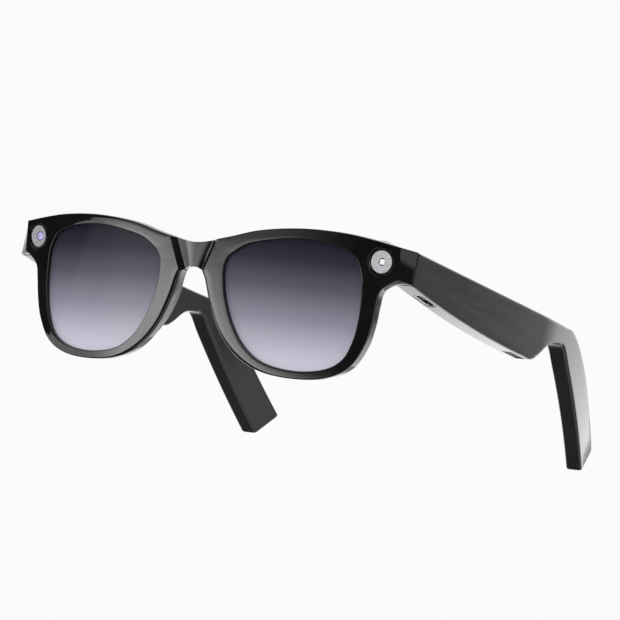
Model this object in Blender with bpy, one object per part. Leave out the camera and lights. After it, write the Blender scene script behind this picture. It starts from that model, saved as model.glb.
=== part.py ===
"""Smart glasses with a camera, a light, open-ear speakers and two folding temples.

Metres, +Z up. +X is the wearer's left and the front faces -Y. The rims and the temple tips
stand on z = 0, and the origin is under the middle of the whole object.
"""

import math

import bmesh
import bpy
from mathutils import Matrix, Vector

MM = 0.001

# The two lens openings and the rims round them
LENS_WIDTH = 49.3 * MM
LENS_HEIGHT = 39.5 * MM
LENS_GAP = 25.2 * MM
RIM_TOP = 3.2 * MM
RIM_BOTTOM = 2.5 * MM
BRIDGE_TOP_DROP = 6.9 * MM
BRIDGE_HEIGHT = 7.6 * MM

# The front shell: tilted forward at the top, and wrapped round the face
FRONT_TILT = math.radians(12.4)
WRAP_RADIUS = 400.0 * MM
FRONT_THICKNESS = 3.2 * MM
LIP_THICKNESS = 1.3 * MM
SEAT_WIDTH = 1.2 * MM
END_PLATE_SHARE = 0.7
SCOOP_DEPTH = 1.4 * MM
SCOOP_TOP_HALF_WIDTH = 8.8 * MM
SCOOP_BOTTOM_HALF_WIDTH = 5.0 * MM

# The end pieces, which carry the modules and the hinges
END_PIECE_WIDTH = 11.6 * MM
END_PIECE_HEIGHT = 9.5 * MM
END_PIECE_DROP = 2.6 * MM
END_PIECE_EDGE = 3.0 * MM
END_PIECE_DEPTH = 1.55 * MM

# The rear cover and its nose pads
COVER_THICKNESS = 1.2 * MM
COVER_INSET = 0.7 * MM
COVER_CHAMFER = 0.6 * MM
COVER_HOLE_INSET = 0.4 * MM
NOSE_PAD_RISE = 1.4 * MM
NOSE_PAD_SPREAD = 0.6 * MM

# The lenses
LENS_THICKNESS = 1.5 * MM

# The camera and light modules
MODULE_MARGIN = 1.3 * MM
MODULE_DROP = 7.6 * MM
BEZEL_RADIUS = 4.3 * MM
BEZEL_WIDTH = 0.85 * MM
BEZEL_HEIGHT = 1.0 * MM
WINDOW_THICKNESS = 0.55 * MM
BARREL_SHARE = 0.68
BARREL_LENGTH = 0.9 * MM
BOARD_SHARE = 0.8
BOARD_THICKNESS = 0.4 * MM
EMITTER_SHARE = 0.62

# The flat cable in the brow
FLEX_WIDTH = 0.9 * MM
FLEX_THICKNESS = 0.2 * MM
FLEX_SHARE = 0.3
FLEX_RISE = 1.2 * MM

# The temples
TEMPLE_OVERHANG = 3.9 * MM
TEMPLE_THICKNESS = 6.7 * MM
TEMPLE_FRONT_HEIGHT = 10.3 * MM
TEMPLE_TOP_ABOVE_LENS = 0.4 * MM
TEMPLE_SAG = 5.2 * MM
SAG_SHARE = 0.94
ARM_LENGTH = 74.2 * MM
TIP_LENGTH = 50.0 * MM
TIP_HEIGHT = 12.2 * MM
TIP_ANGLE = math.radians(43.2)
TIP_TUCK = 6.9 * MM
TIP_THICKNESS = 6.1 * MM
TIP_START = 18.0 * MM
TIP_DROP = 6.9 * MM
TUCK_START = 4.0 * MM
TEMPLE_WALL = 1.5 * MM
OUTER_WALL = 1.2 * MM
LID_THICKNESS = 1.1 * MM
LID_LAP = 0.8 * MM
BAY_SETBACK = 11.0 * MM

# The hinges
PIN_INSET = 2.1 * MM
PIN_SETBACK = 3.0 * MM
PIN_RADIUS = 0.6 * MM
PIN_HEAD_RADIUS = 1.3 * MM
PIN_HEAD_HEIGHT = 0.8 * MM
KNUCKLE_RADIUS = 1.7 * MM
KNUCKLE_HEIGHT = 2.2 * MM
LEAF_THICKNESS = 0.6 * MM
LEAF_BASE_RISE = 1.9 * MM
FRONT_LEAF_LENGTH = 8.0 * MM
TEMPLE_LEAF_LENGTH = 6.0 * MM
LEAF_SCREW_RADIUS = 0.5 * MM
LEAF_SCREW_HEAD_RADIUS = 0.95 * MM
LEAF_SCREW_HEAD_HEIGHT = 0.35 * MM
LEAF_SCREW_LENGTH = 1.2 * MM
SCREW_EDGE = 0.45 * MM
SCREW_SPREAD = 0.27
WEB_THICKNESS = 1.2 * MM

# What the temples hold
CIRCUIT_LENGTH = 27.0 * MM
CIRCUIT_THICKNESS = 0.8 * MM
SPEAKER_LENGTH = 9.0 * MM
SPEAKER_HEIGHT = 6.0 * MM
GRILLE_LENGTH = 9.0 * MM
GRILLE_WIDTH = 3.0 * MM
GRILLE_HOLES = 4
GRILLE_HOLE_RADIUS = 0.45 * MM
PORT_LENGTH = 9.0 * MM
PORT_WIDTH = 3.2 * MM
PORT_WALL = 0.3 * MM
PORT_HEIGHT = 5.5 * MM
PORT_SETBACK = 12.8 * MM
PORT_BACK = 1.2 * MM
TONGUE_LENGTH = 6.5 * MM
TONGUE_THICKNESS = 0.7 * MM
TONGUE_RECESS = 0.9 * MM
BUTTON_LENGTH = 9.0 * MM
BUTTON_SHARE = 0.57
BUTTON_PROUD = 0.4 * MM
BUTTON_TRAVEL = 0.4 * MM
BUTTON_FLANGE = 0.6 * MM
BUTTON_LAP = 0.3 * MM
BUTTON_SETBACK = 17.0 * MM
SWITCH_LENGTH = 3.0 * MM
SWITCH_HEIGHT = 1.6 * MM
MICROPHONE_SIZE = (2.6 * MM, 2.2 * MM, 1.0 * MM)
MICROPHONE_SETBACK = 30.0 * MM
MICROPHONE_HOLE_RADIUS = 0.5 * MM

# Room between pieces that touch, and between pieces that slide or turn
FIT = 0.2 * MM
RUNNING_FIT = 0.12 * MM
SEAM_GAP = 0.3 * MM

# How far a cutter reaches past the face it opens, and how near two points are one
OVERRUN = 2.0 * MM
MERGE_DISTANCE = 0.01 * MM

# How finely the round stretches are divided
RIB_STEPS = 2
TEMPLE_STEPS = 2
FLEX_STEPS = 3
BAY_STEPS = 6
END_STEPS = 6
ROUND_SIDES = 20
SMALL_SIDES = 12

# Matched points round the lens opening, as shares of its half width and half height. They start
# at the bridge's top, and run out along the brow, down the side, and back under the lens.
OPENING_SHAPE = [
    (-0.895, 0.686), (-0.700, 0.828), (-0.456, 0.909), (0.050, 1.000), (0.517, 0.975),
    (0.822, 0.868), (0.935, 0.716), (0.992, 0.514), (1.000, 0.337), (1.000, 0.109),
    (0.984, -0.144), (0.931, -0.448), (0.801, -0.752), (0.538, -0.934), (0.112, -1.000),
    (-0.335, -0.924), (-0.631, -0.701), (-0.830, -0.372), (-0.955, 0.008), (-1.000, 0.311),
    (-1.000, 0.473), (-0.988, 0.539), (-0.951, 0.625),
]

# Stations on that round where the outline changes its character
BROW_LAST, END_TOP, END_BOTTOM, END_LAST = 5, 6, 7, 8
BRIDGE_BOTTOM, BRIDGE_MIDDLE = 21, 22

# The rim's width from the end piece round to the nose, at its own stations
RIM_WIDTHS = {
    8: 6.3 * MM, 9: 5.0 * MM, 10: 4.6 * MM, 11: 4.1 * MM, 12: 3.3 * MM, 13: 2.7 * MM,
    14: RIM_BOTTOM, 15: 3.0 * MM, 16: 4.3 * MM, 17: 5.5 * MM, 18: 6.3 * MM,
}

# The brow's upper edge at its stations: across, as a share of the lens's half width from its
# middle, and up, as a share of the way from the bridge's top to the brow's
BROW_SHAPE = {1: (-0.984, 0.33), 2: (-0.497, 0.75), 3: (0.11, 0.985), 4: (0.68, 0.978)}
BROW_TURN = 0.73

# The arch under the bridge at its stations: a share of the gap across, and a drop
ARCH_SHAPE = {19: (0.194, 2.5 * MM), 20: (0.087, 0.25 * MM)}

# How far the nose pad stands up at its stations, as a share of its full rise
PAD_SHAPE = {15: 0.0, 16: 0.3, 17: 0.8, 18: 1.0, 19: 0.6, 20: 0.2}

# Stations along the arm, as shares of its length
ARM_STATIONS = (0.0, 0.16, 0.36, 0.6, 0.8, 0.93)

# Matched points on the bend's upper and lower edges, from the arm's end and its top
BEND_SHAPE = [
    ((1.0 * MM, 0.0), (-0.5 * MM, -15.4 * MM)),
    ((5.0 * MM, 0.0), (3.0 * MM, -13.2 * MM)),
    ((11.0 * MM, -0.05 * MM), (8.0 * MM, -8.8 * MM)),
    ((19.0 * MM, -0.15 * MM), (13.0 * MM, -6.8 * MM)),
]

# Stations along the tip as shares, and how much its upper edge is lowered there
TIP_SHAPE = {0.0: 3.2 * MM, 0.17: 1.0 * MM, 0.4: 0.0, 0.7: 0.0, 1.0: 0.0}

LENS_X = (LENS_GAP + LENS_WIDTH) / 2
LENS_Z = RIM_BOTTOM + LENS_HEIGHT / 2
LENS_TOP = RIM_BOTTOM + LENS_HEIGHT
BROW_Z = LENS_TOP + RIM_TOP
CORNER_X = LENS_X + LENS_WIDTH / 2 + END_PIECE_WIDTH
OUTER_X = CORNER_X + TEMPLE_OVERHANG
INNER_X = OUTER_X - TEMPLE_THICKNESS
TEMPLE_TOP = LENS_TOP + TEMPLE_TOP_ABOVE_LENS
SEAM_DEPTH = CORNER_X * CORNER_X / (2 * WRAP_RADIUS) + FRONT_THICKNESS + END_PIECE_DEPTH
TEMPLE_START = SEAM_DEPTH + SEAM_GAP
ARM_END = TEMPLE_START + ARM_LENGTH
PIN_X = INNER_X - PIN_INSET
PIN_Y = SEAM_DEPTH + PIN_SETBACK
LEAF_BASE = TEMPLE_TOP - TEMPLE_FRONT_HEIGHT + LEAF_BASE_RISE
KNUCKLE_BASES = [LEAF_BASE + i * (KNUCKLE_HEIGHT + RUNNING_FIT) for i in range(3)]
LEAF_TOP = KNUCKLE_BASES[2] + KNUCKLE_HEIGHT
COVER_FRONT = FRONT_THICKNESS + FIT
MODULE_X = CORNER_X - BEZEL_RADIUS - MODULE_MARGIN
MODULE_Z = BROW_Z - MODULE_DROP
MODULE_BORE = BEZEL_RADIUS - BEZEL_WIDTH - FIT
BARREL_RADIUS = BARREL_SHARE * MODULE_BORE
BOARD_RADIUS = BOARD_SHARE * MODULE_BORE
EMITTER_SIZE = EMITTER_SHARE * MODULE_BORE
FLEX_DEPTH = FRONT_THICKNESS - FIT - FLEX_WIDTH
RECESS_FLOOR = SEAM_DEPTH - LEAF_THICKNESS - LEAF_SCREW_HEAD_HEIGHT - FIT
POCKET_DEPTH = FIT + WINDOW_THICKNESS + FIT + BARREL_LENGTH + FIT + BOARD_THICKNESS + FIT


# Scene and materials


def clear_scene():
    for old in list(bpy.data.objects):
        bpy.data.objects.remove(old)


def finish(name, colour, roughness, metallic=0.0, alpha=1.0):
    made = bpy.data.materials.get(name)
    if made is None:
        made = bpy.data.materials.new(name)
        made.use_nodes = True
        shader = made.node_tree.nodes["Principled BSDF"]
        shader.inputs["Base Color"].default_value = (*colour, 1.0)
        shader.inputs["Roughness"].default_value = roughness
        shader.inputs["Metallic"].default_value = metallic
        shader.inputs["Alpha"].default_value = alpha
    return made


def gloss_black():
    return finish("gloss_black", (0.012, 0.012, 0.012), 0.08)


def satin_black():
    return finish("satin_black", (0.016, 0.016, 0.017), 0.35)


def steel():
    return finish("hinge_steel", (0.56, 0.56, 0.57), 0.25, 1.0)


def board_green():
    return finish("board_green", (0.02, 0.09, 0.05), 0.4)


# Mesh helpers


def object_of(mesh_data, name, parent, material):
    bmesh.ops.recalc_face_normals(mesh_data, faces=mesh_data.faces)
    mesh = bpy.data.meshes.new(name)
    mesh_data.to_mesh(mesh)
    mesh_data.free()
    made = bpy.data.objects.new(name, mesh)
    bpy.context.scene.collection.objects.link(made)
    mesh.shade_smooth()
    mesh.set_sharp_from_angle(angle=math.radians(35))
    if material is not None:
        mesh.materials.append(material)
    if parent is not None:
        made.parent = parent
        made.location = -parent.location if parent.parent is not None else (0, 0, 0)
    return made


def add_loft(mesh_data, rings, closed_path=False):
    """Joins rings of equal count with quads, and closes the first and last with a face each."""
    made = [[mesh_data.verts.new(point) for point in ring] for ring in rings]
    count = len(rings[0])
    pairs = list(zip(made, made[1:]))
    if closed_path:
        pairs.append((made[-1], made[0]))
    for here, there in pairs:
        for i in range(count):
            j = (i + 1) % count
            mesh_data.faces.new((here[i], here[j], there[j], there[i]))
    if not closed_path:
        mesh_data.faces.new(made[0])
        mesh_data.faces.new(made[-1])
    return made


def loft(rings, closed_path=False):
    mesh_data = bmesh.new()
    add_loft(mesh_data, rings, closed_path)
    return mesh_data


def block(low, high):
    """A box between two corners, given in any order along each axis."""
    mesh_data = bmesh.new()
    size = [abs(b - a) for a, b in zip(low, high)]
    middle = [(a + b) / 2 for a, b in zip(low, high)]
    bmesh.ops.create_cube(mesh_data, size=1.0)
    bmesh.ops.scale(mesh_data, vec=size, verts=mesh_data.verts)
    bmesh.ops.translate(mesh_data, vec=middle, verts=mesh_data.verts)
    return mesh_data


def turned(profile, place, sides=ROUND_SIDES):
    """A solid turned about place's Z axis from (radius, height) pairs, bottom to top."""
    rings = []
    for radius, height in profile:
        ring = []
        for i in range(sides):
            angle = 2 * math.pi * i / sides
            ring.append(place @ Vector((radius * math.cos(angle), radius * math.sin(angle), height)))
        rings.append(ring)
    return loft(rings)


def washer(inner, outer, low, high, place, sides=ROUND_SIDES):
    """A ring of rectangular section, turned about place's Z axis."""
    rings = []
    for radius, height in ((inner, low), (outer, low), (outer, high), (inner, high)):
        ring = []
        for i in range(sides):
            angle = 2 * math.pi * i / sides
            ring.append(place @ Vector((radius * math.cos(angle), radius * math.sin(angle), height)))
        rings.append(ring)
    return loft(rings, closed_path=True)


def helper(mesh_data, target, operation):
    """Cuts a hidden helper from the target, or joins it on."""
    name = f"{target.name}_helper_{len(target.modifiers)}"
    made = object_of(mesh_data, name, target.parent, None)
    made.hide_render = True
    made.display_type = "WIRE"
    modifier = target.modifiers.new(name, "BOOLEAN")
    modifier.operation = operation
    modifier.object = made


def cut(target, mesh_data):
    helper(mesh_data, target, "DIFFERENCE")


def join(target, mesh_data):
    helper(mesh_data, target, "UNION")


def lerp(a, b, share):
    return a + (b - a) * share


def smooth_span(before, start, end, after, share):
    """A point and its direction on a smooth curve through start and end."""
    square = share * share
    cube = square * share
    point = 0.5 * (
        2 * start
        + (end - before) * share
        + (2 * before - 5 * start + 4 * end - after) * square
        + (3 * start - before - 3 * end + after) * cube
    )
    slope = 0.5 * (
        (end - before)
        + 2 * (2 * before - 5 * start + 4 * end - after) * share
        + 3 * (3 * start - before - 3 * end + after) * square
    )
    return point, slope.normalized()


def smooth_line(points, before, after, steps):
    """Samples of (point, direction) through the points, leaving out the last point."""
    line = [before, *points, after]
    samples = []
    for i in range(1, len(line) - 2):
        for step in range(steps):
            share = step / steps
            samples.append(smooth_span(line[i - 1], line[i], line[i + 1], line[i + 2], share))
    return samples


def straight_line(points, steps):
    samples = []
    for start, end in zip(points, points[1:]):
        for step in range(steps):
            samples.append((lerp(start, end, step / steps), (end - start).normalized()))
    return samples


def outward(direction):
    """The way out of a round that is travelled clockwise, as seen from the front."""
    return Vector((-direction.y, direction.x))


# The front's own surface


def front_y(x, z):
    return x * x / (2 * WRAP_RADIUS) + math.tan(FRONT_TILT) * (TEMPLE_TOP - z)


def front_point(x, z, depth):
    """A point at this depth behind the front's outer surface, in the object's own frame."""
    y = front_y(x, z) + depth * math.cos(FRONT_TILT)
    return Vector((x, y, z + depth * math.sin(FRONT_TILT)))


def depth_at_seam(x, z):
    return (SEAM_DEPTH - front_y(x, z)) / math.cos(FRONT_TILT)


def front_place(x, z, depth):
    """A placing whose Z axis points out of the front's surface, with its origin at this depth."""
    across = Vector((1.0, x / WRAP_RADIUS, 0.0)).normalized()
    up = Vector((0.0, -math.sin(FRONT_TILT), math.cos(FRONT_TILT)))
    out = across.cross(up).normalized()
    up = out.cross(across)
    place = Matrix((across, up, out)).transposed().to_4x4()
    place.translation = front_point(x, z, 0.0) - out * depth
    return place


def opening_controls():
    half_width = LENS_WIDTH / 2
    half_height = LENS_HEIGHT / 2
    return [Vector((LENS_X + u * half_width, LENS_Z + v * half_height)) for u, v in OPENING_SHAPE]


def outline_controls():
    """The outline's point opposite each point of the opening, in x and z."""
    opening = opening_controls()
    half_width = LENS_WIDTH / 2
    bridge_top = BROW_Z - BRIDGE_TOP_DROP
    bridge_bottom = bridge_top - BRIDGE_HEIGHT
    end_top = BROW_Z - END_PIECE_DROP
    outline = {
        0: (0.0, bridge_top),
        BROW_LAST: (CORNER_X - BROW_TURN * END_PIECE_WIDTH, BROW_Z - END_PIECE_DROP / 2),
        END_TOP: (CORNER_X, end_top),
        END_BOTTOM: (CORNER_X, end_top - END_PIECE_HEIGHT),
        BRIDGE_BOTTOM: (0.0, bridge_bottom),
        BRIDGE_MIDDLE: (0.0, (bridge_top + bridge_bottom) / 2),
    }
    for i, (across, up) in BROW_SHAPE.items():
        outline[i] = (LENS_X + across * half_width, lerp(bridge_top, BROW_Z, up))
    for i, (across, drop) in ARCH_SHAPE.items():
        outline[i] = (LENS_GAP * across, bridge_bottom - drop)
    for i, width in RIM_WIDTHS.items():
        along = opening[i + 1] - opening[i - 1]
        outline[i] = opening[i] + outward(along.normalized()) * width
    return [Vector(outline[i]) for i in range(len(opening))]


def mirrored(point):
    return Vector((-point.x, point.y))


def ribs():
    """For each station: the opening's point and way out, and the outline's point and way out."""
    opening = opening_controls()
    outline = outline_controls()
    inner = smooth_line([*opening, opening[0]], opening[-1], opening[1], RIB_STEPS)
    brow = outline[: END_TOP + 1]
    side = outline[END_BOTTOM : BRIDGE_BOTTOM + 1]
    outer = smooth_line(brow, mirrored(outline[1]), 2 * brow[-1] - brow[-2], RIB_STEPS)
    outer += straight_line([outline[END_TOP], outline[END_BOTTOM]], RIB_STEPS)
    arch_start = 2 * side[0] - side[1]
    outer += smooth_line(side, arch_start, mirrored(outline[BRIDGE_BOTTOM - 1]), RIB_STEPS)
    middle = straight_line([outline[BRIDGE_BOTTOM], outline[BRIDGE_MIDDLE], outline[0]], RIB_STEPS)
    made = []
    for (inside, along), (outside, edge) in zip(inner, outer + middle):
        made.append((inside, outward(along), outside, outward(edge)))
    return made


def on_bridge_middle(station):
    return station >= BRIDGE_BOTTOM * RIB_STEPS


def in_end_piece(station):
    return BROW_LAST * RIB_STEPS <= station <= END_LAST * RIB_STEPS


def end_edge(inside, out, outside):
    """Where the end piece's block starts behind the rim, as a point on the rib."""
    room = (outside - inside).length
    return inside + out * min(END_PIECE_EDGE, (SEAT_WIDTH + room) / 2)


def flare(station):
    """How far the end piece has widened to the temple's outer face, as a share."""
    share = station / RIB_STEPS
    if share <= END_TOP:
        return max(0.0, (share - BROW_LAST) / (END_TOP - BROW_LAST))
    if share <= END_BOTTOM:
        return 1.0
    return max(0.0, 1.0 - (share - END_BOTTOM) / (END_LAST - END_BOTTOM))


def half_ring(levels):
    """A ring round one lens from lists of points, one list a station, left open at the middle."""
    mesh_data = bmesh.new()
    loops = [[mesh_data.verts.new(point) for point in level] for level in levels]
    count = len(levels)
    depth = len(levels[0])
    middle = BRIDGE_BOTTOM * RIB_STEPS
    faces = {}
    for i in range(count):
        j = (i + 1) % count
        for k in range(depth):
            if k == 1 and i >= middle:
                continue
            m = (k + 1) % depth
            faces[i, k] = mesh_data.faces.new((loops[i][k], loops[j][k], loops[j][m], loops[i][m]))
    return mesh_data, faces


def whole_front(mesh_data):
    """Both halves, joined on the middle plane."""
    parts = [*mesh_data.verts, *mesh_data.edges, *mesh_data.faces]
    bmesh.ops.mirror(mesh_data, geom=parts, axis="X", merge_dist=MERGE_DISTANCE)
    return mesh_data


# Front pieces


def front_frame(parent):
    levels = []
    for station, (inside, out, outside, _) in enumerate(ribs()):
        seat = inside + out * SEAT_WIDTH
        edge = end_edge(inside, out, outside)
        depth = FRONT_THICKNESS
        wide_x = outside.x
        if in_end_piece(station):
            seam = depth_at_seam(outside.x, outside.y)
            depth = min(FRONT_THICKNESS, END_PLATE_SHARE * seam)
            wide_x += TEMPLE_OVERHANG * flare(station) * depth / seam
        turned_back = front_point(outside.x, outside.y, depth)
        turned_back.x = wide_x
        levels.append([
            front_point(inside.x, inside.y, 0.0),
            front_point(outside.x, outside.y, 0.0),
            turned_back,
            front_point(edge.x, edge.y, FRONT_THICKNESS),
            front_point(seat.x, seat.y, FRONT_THICKNESS),
            front_point(seat.x, seat.y, LIP_THICKNESS),
            front_point(inside.x, inside.y, LIP_THICKNESS),
        ])
    mesh_data, faces = half_ring(levels)
    extend_end_piece(mesh_data, faces, levels)
    frame = object_of(whole_front(mesh_data), "front_frame", parent, gloss_black())
    cut(frame, bridge_scoop())
    for side in (1, -1):
        for cutter in module_pocket(side):
            cut(frame, cutter)
        cut(frame, front_leaf_recess(side))
        for height in leaf_screw_heights():
            cut(frame, front_screw_hole(side, height))
    cut(frame, flex_strip(FLEX_THICKNESS + 2 * FIT, FLEX_DEPTH - FIT, FRONT_THICKNESS + FIT, 0.0))
    return frame


def extend_end_piece(mesh_data, faces, levels):
    """Draws the end piece's back out to the seam, and widens it to the temple."""
    first, last = BROW_LAST * RIB_STEPS, END_LAST * RIB_STEPS
    region = [faces[i, 2] for i in range(first, last)]
    extruded = bmesh.ops.extrude_face_region(mesh_data, geom=region)
    bmesh.ops.delete(mesh_data, geom=region, context="FACES_ONLY")
    moved = [item for item in extruded["geom"] if isinstance(item, bmesh.types.BMVert)]
    stations = ribs()
    for vert in moved:
        station, is_outer = nearest_station(vert.co, levels, first, last)
        inside, out, outside, _ = stations[station]
        if is_outer:
            top, bottom = TEMPLE_TOP, TEMPLE_TOP - TEMPLE_FRONT_HEIGHT
            seam = depth_at_seam(outside.x, outside.y)
            free = front_point(outside.x, outside.y, seam)
            squared = lerp(bottom, top, max(0.0, min(1.0, END_BOTTOM - station / RIB_STEPS)))
            share = flare(station)
            vert.co = (outside.x + TEMPLE_OVERHANG * share, SEAM_DEPTH, lerp(free.z, squared, share))
        else:
            edge = end_edge(inside, out, outside)
            vert.co = front_point(edge.x, edge.y, depth_at_seam(edge.x, edge.y))


def nearest_station(point, levels, first, last):
    best = None
    for station in range(first, last + 1):
        for level, is_outer in ((2, True), (3, False)):
            distance = (levels[station][level] - point).length
            if best is None or distance < best[0]:
                best = (distance, station, is_outer)
    return best[1], best[2]


def bridge_scoop():
    """A shallow channel down the bridge with sloping sides."""
    top = BROW_Z - BRIDGE_TOP_DROP
    bottom = top - BRIDGE_HEIGHT
    slope = (SCOOP_TOP_HALF_WIDTH - SCOOP_BOTTOM_HALF_WIDTH) / (top - bottom)
    rings = []
    for depth in (-OVERRUN, SCOOP_DEPTH):
        high = SCOOP_TOP_HALF_WIDTH + slope * OVERRUN - depth
        low = SCOOP_BOTTOM_HALF_WIDTH - slope * OVERRUN - depth
        below, above = bottom - OVERRUN, top + OVERRUN
        corners = ((-low, below), (low, below), (high, above), (-high, above))
        rings.append([front_point(x, z, depth) for x, z in corners])
    return loft(rings)


def lens_outline(spread):
    return [inside + out * spread for inside, out, _, _ in ribs()]


def plate_rings(outline, depth, shares):
    centre = Vector((LENS_X, LENS_Z))
    rings = []
    for share in shares:
        ring = [lerp(centre, point, share) for point in outline]
        rings.append([front_point(point.x, point.y, depth) for point in ring])
    return rings


def lens(parent, side, name):
    outline = lens_outline(SEAT_WIDTH - FIT)
    front = LIP_THICKNESS + FIT
    rings = plate_rings(outline, front, (0.3, 0.65, 1.0))
    rings += plate_rings(outline, front + LENS_THICKNESS, (1.0, 0.65, 0.3))
    for ring in rings:
        for point in ring:
            point.x *= side
    tint = finish("tinted_lens", (0.2, 0.19, 0.23), 0.05, 0.0, 0.6)
    return object_of(loft(rings), name, parent, tint)


def cover_edge(station, rib, inset):
    """The rear cover's outer edge: inset from the outline, or in front of the end piece's block."""
    inside, out, outside, edge_out = rib
    if in_end_piece(station - 1) or in_end_piece(station + 1):
        return end_edge(inside, out, outside) - out * 2 * FIT
    if station == BRIDGE_BOTTOM * RIB_STEPS:
        return outside + Vector((0.0, inset))
    if on_bridge_middle(station):
        return outside
    return outside - edge_out * inset


def pad_share(station):
    """How much of the nose pad's rise is there at this station."""
    place = station / RIB_STEPS
    low = math.floor(place)
    return lerp(PAD_SHAPE.get(low, 0.0), PAD_SHAPE.get(low + 1, 0.0), place - low)


def rear_cover(parent):
    levels = []
    for station, rib in enumerate(ribs()):
        inside, out, _, edge_out = rib
        hole = inside + out * COVER_HOLE_INSET
        edge = cover_edge(station, rib, COVER_INSET)
        pad = pad_share(station)
        back = COVER_FRONT + COVER_THICKNESS
        spread = cover_edge(station, rib, COVER_INSET + COVER_CHAMFER)
        spread += edge_out * NOSE_PAD_SPREAD * pad
        levels.append([
            front_point(hole.x, hole.y, COVER_FRONT),
            front_point(edge.x, edge.y, COVER_FRONT),
            front_point(spread.x, spread.y, back + NOSE_PAD_RISE * pad),
            front_point(hole.x, hole.y, back),
        ])
    mesh_data, _ = half_ring(levels)
    return object_of(whole_front(mesh_data), "rear_cover", parent, satin_black())


def flex_route():
    """The flat cable's middle line, from one module over the bridge to the other."""
    half = [Vector((0.0, BROW_Z - BRIDGE_TOP_DROP - BRIDGE_HEIGHT / 2))]
    stations = ribs()
    for place in (1, 2, 3, 4):
        inside, out, outside, _ = stations[place * RIB_STEPS]
        half.append(lerp(inside + out * SEAT_WIDTH, outside, FLEX_SHARE))
    half.append(Vector((MODULE_X - BEZEL_RADIUS - FLEX_WIDTH, MODULE_Z + FLEX_RISE)))
    half.append(Vector((MODULE_X - BOARD_RADIUS - 2 * FIT, MODULE_Z)))
    whole = [mirrored(point) for point in reversed(half[1:])] + half
    samples = smooth_line(whole, 2 * whole[0] - whole[1], 2 * whole[-1] - whole[-2], FLEX_STEPS)
    return samples + [(whole[-1], (whole[-1] - whole[-2]).normalized())]


def flex_strip(thickness, low, high, shortened):
    route = flex_route()
    rings = []
    for i, (point, along) in enumerate(route):
        if i in (0, len(route) - 1):
            point = point + along * (shortened if i == 0 else -shortened)
        side = outward(along) * thickness / 2
        a, b = point + side, point - side
        rings.append([
            front_point(a.x, a.y, low),
            front_point(b.x, b.y, low),
            front_point(b.x, b.y, high),
            front_point(a.x, a.y, high),
        ])
    return loft(rings)


def front_flex(parent):
    made = flex_strip(FLEX_THICKNESS, FLEX_DEPTH, FLEX_DEPTH + FLEX_WIDTH, 2 * FIT)
    return object_of(made, "front_flex", parent, finish("flex_amber", (0.35, 0.16, 0.03), 0.4))


# Camera and light modules


def module_pocket(side):
    """A wide, shallow seat for the bezel, and a deeper bore behind it."""
    place = front_place(side * MODULE_X, MODULE_Z, 0.0)
    seat = BEZEL_RADIUS + FIT
    return [
        turned([(seat, -BEZEL_HEIGHT - FIT), (seat, OVERRUN)], place),
        turned([(MODULE_BORE, -POCKET_DEPTH), (MODULE_BORE, OVERRUN)], place),
    ]


def module_pieces(parent, side, name, window_material):
    place = front_place(side * MODULE_X, MODULE_Z, 0.0)
    inner = BEZEL_RADIUS - BEZEL_WIDTH
    bezel = washer(inner, BEZEL_RADIUS, -BEZEL_HEIGHT, 0.0, place)
    object_of(bezel, f"{name}_bezel", parent, finish("bezel_black", (0.02, 0.02, 0.02), 0.2))
    window = inner - FIT
    top = -FIT
    low = top - WINDOW_THICKNESS
    glass = turned([(window, low), (window, top)], place)
    object_of(glass, f"{name}_window", parent, window_material)
    board_top = low - FIT - BARREL_LENGTH - FIT
    board = turned([(BOARD_RADIUS, board_top - BOARD_THICKNESS), (BOARD_RADIUS, board_top)], place)
    object_of(board, f"{name}_board", parent, board_green())
    return place, low - FIT


def camera_module(parent, side):
    glass = finish("camera_glass", (0.45, 0.45, 0.46), 0.08)
    place, top = module_pieces(parent, side, "camera", glass)
    profile = [
        (BARREL_RADIUS, top - BARREL_LENGTH),
        (BARREL_RADIUS, top - BARREL_LENGTH / 2),
        (0.75 * BARREL_RADIUS, top),
    ]
    violet = finish("barrel_violet", (0.1, 0.07, 0.2), 0.1)
    object_of(turned(profile, place), "camera_barrel", parent, violet)


def light_module(parent, side):
    glass = finish("light_diffuser", (0.62, 0.62, 0.61), 0.3)
    place, top = module_pieces(parent, side, "light", glass)
    half = EMITTER_SIZE / 2
    emitter = block((-half, -half, top - BARREL_LENGTH), (half, half, top))
    bmesh.ops.transform(emitter, matrix=place, verts=emitter.verts)
    object_of(emitter, "light_emitter", parent, finish("emitter_cream", (0.9, 0.86, 0.7), 0.5))


# Hinges


def leaf_screw_heights():
    middle = (LEAF_BASE + LEAF_TOP) / 2
    spread = SCREW_SPREAD * (LEAF_TOP - LEAF_BASE)
    return [middle - spread, middle + spread]


def front_leaf_end():
    return PIN_X + FRONT_LEAF_LENGTH - KNUCKLE_RADIUS


def front_screw_x():
    return front_leaf_end() - LEAF_SCREW_HEAD_RADIUS - SCREW_EDGE


def front_leaf_recess(side):
    low = (side * (PIN_X - KNUCKLE_RADIUS / 2 - 2 * FIT), RECESS_FLOOR, LEAF_BASE - FIT)
    high = (side * (front_leaf_end() + FIT), SEAM_DEPTH + OVERRUN, LEAF_TOP + FIT)
    return block(low, high)


def front_screw_hole(side, height):
    place = Matrix.Translation((side * front_screw_x(), RECESS_FLOOR, height)) @ Matrix.Rotation(
        math.pi / 2, 4, "X"
    )
    radius = LEAF_SCREW_RADIUS + FIT
    return turned([(radius, -OVERRUN), (radius, LEAF_SCREW_LENGTH)], place, SMALL_SIDES)


def pin_place(side, height):
    return Matrix.Translation((side * PIN_X, PIN_Y, height))


def knuckle(side, index):
    place = pin_place(side, KNUCKLE_BASES[index])
    bore = PIN_RADIUS + RUNNING_FIT
    return washer(bore, KNUCKLE_RADIUS, 0.0, KNUCKLE_HEIGHT, place)


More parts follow.
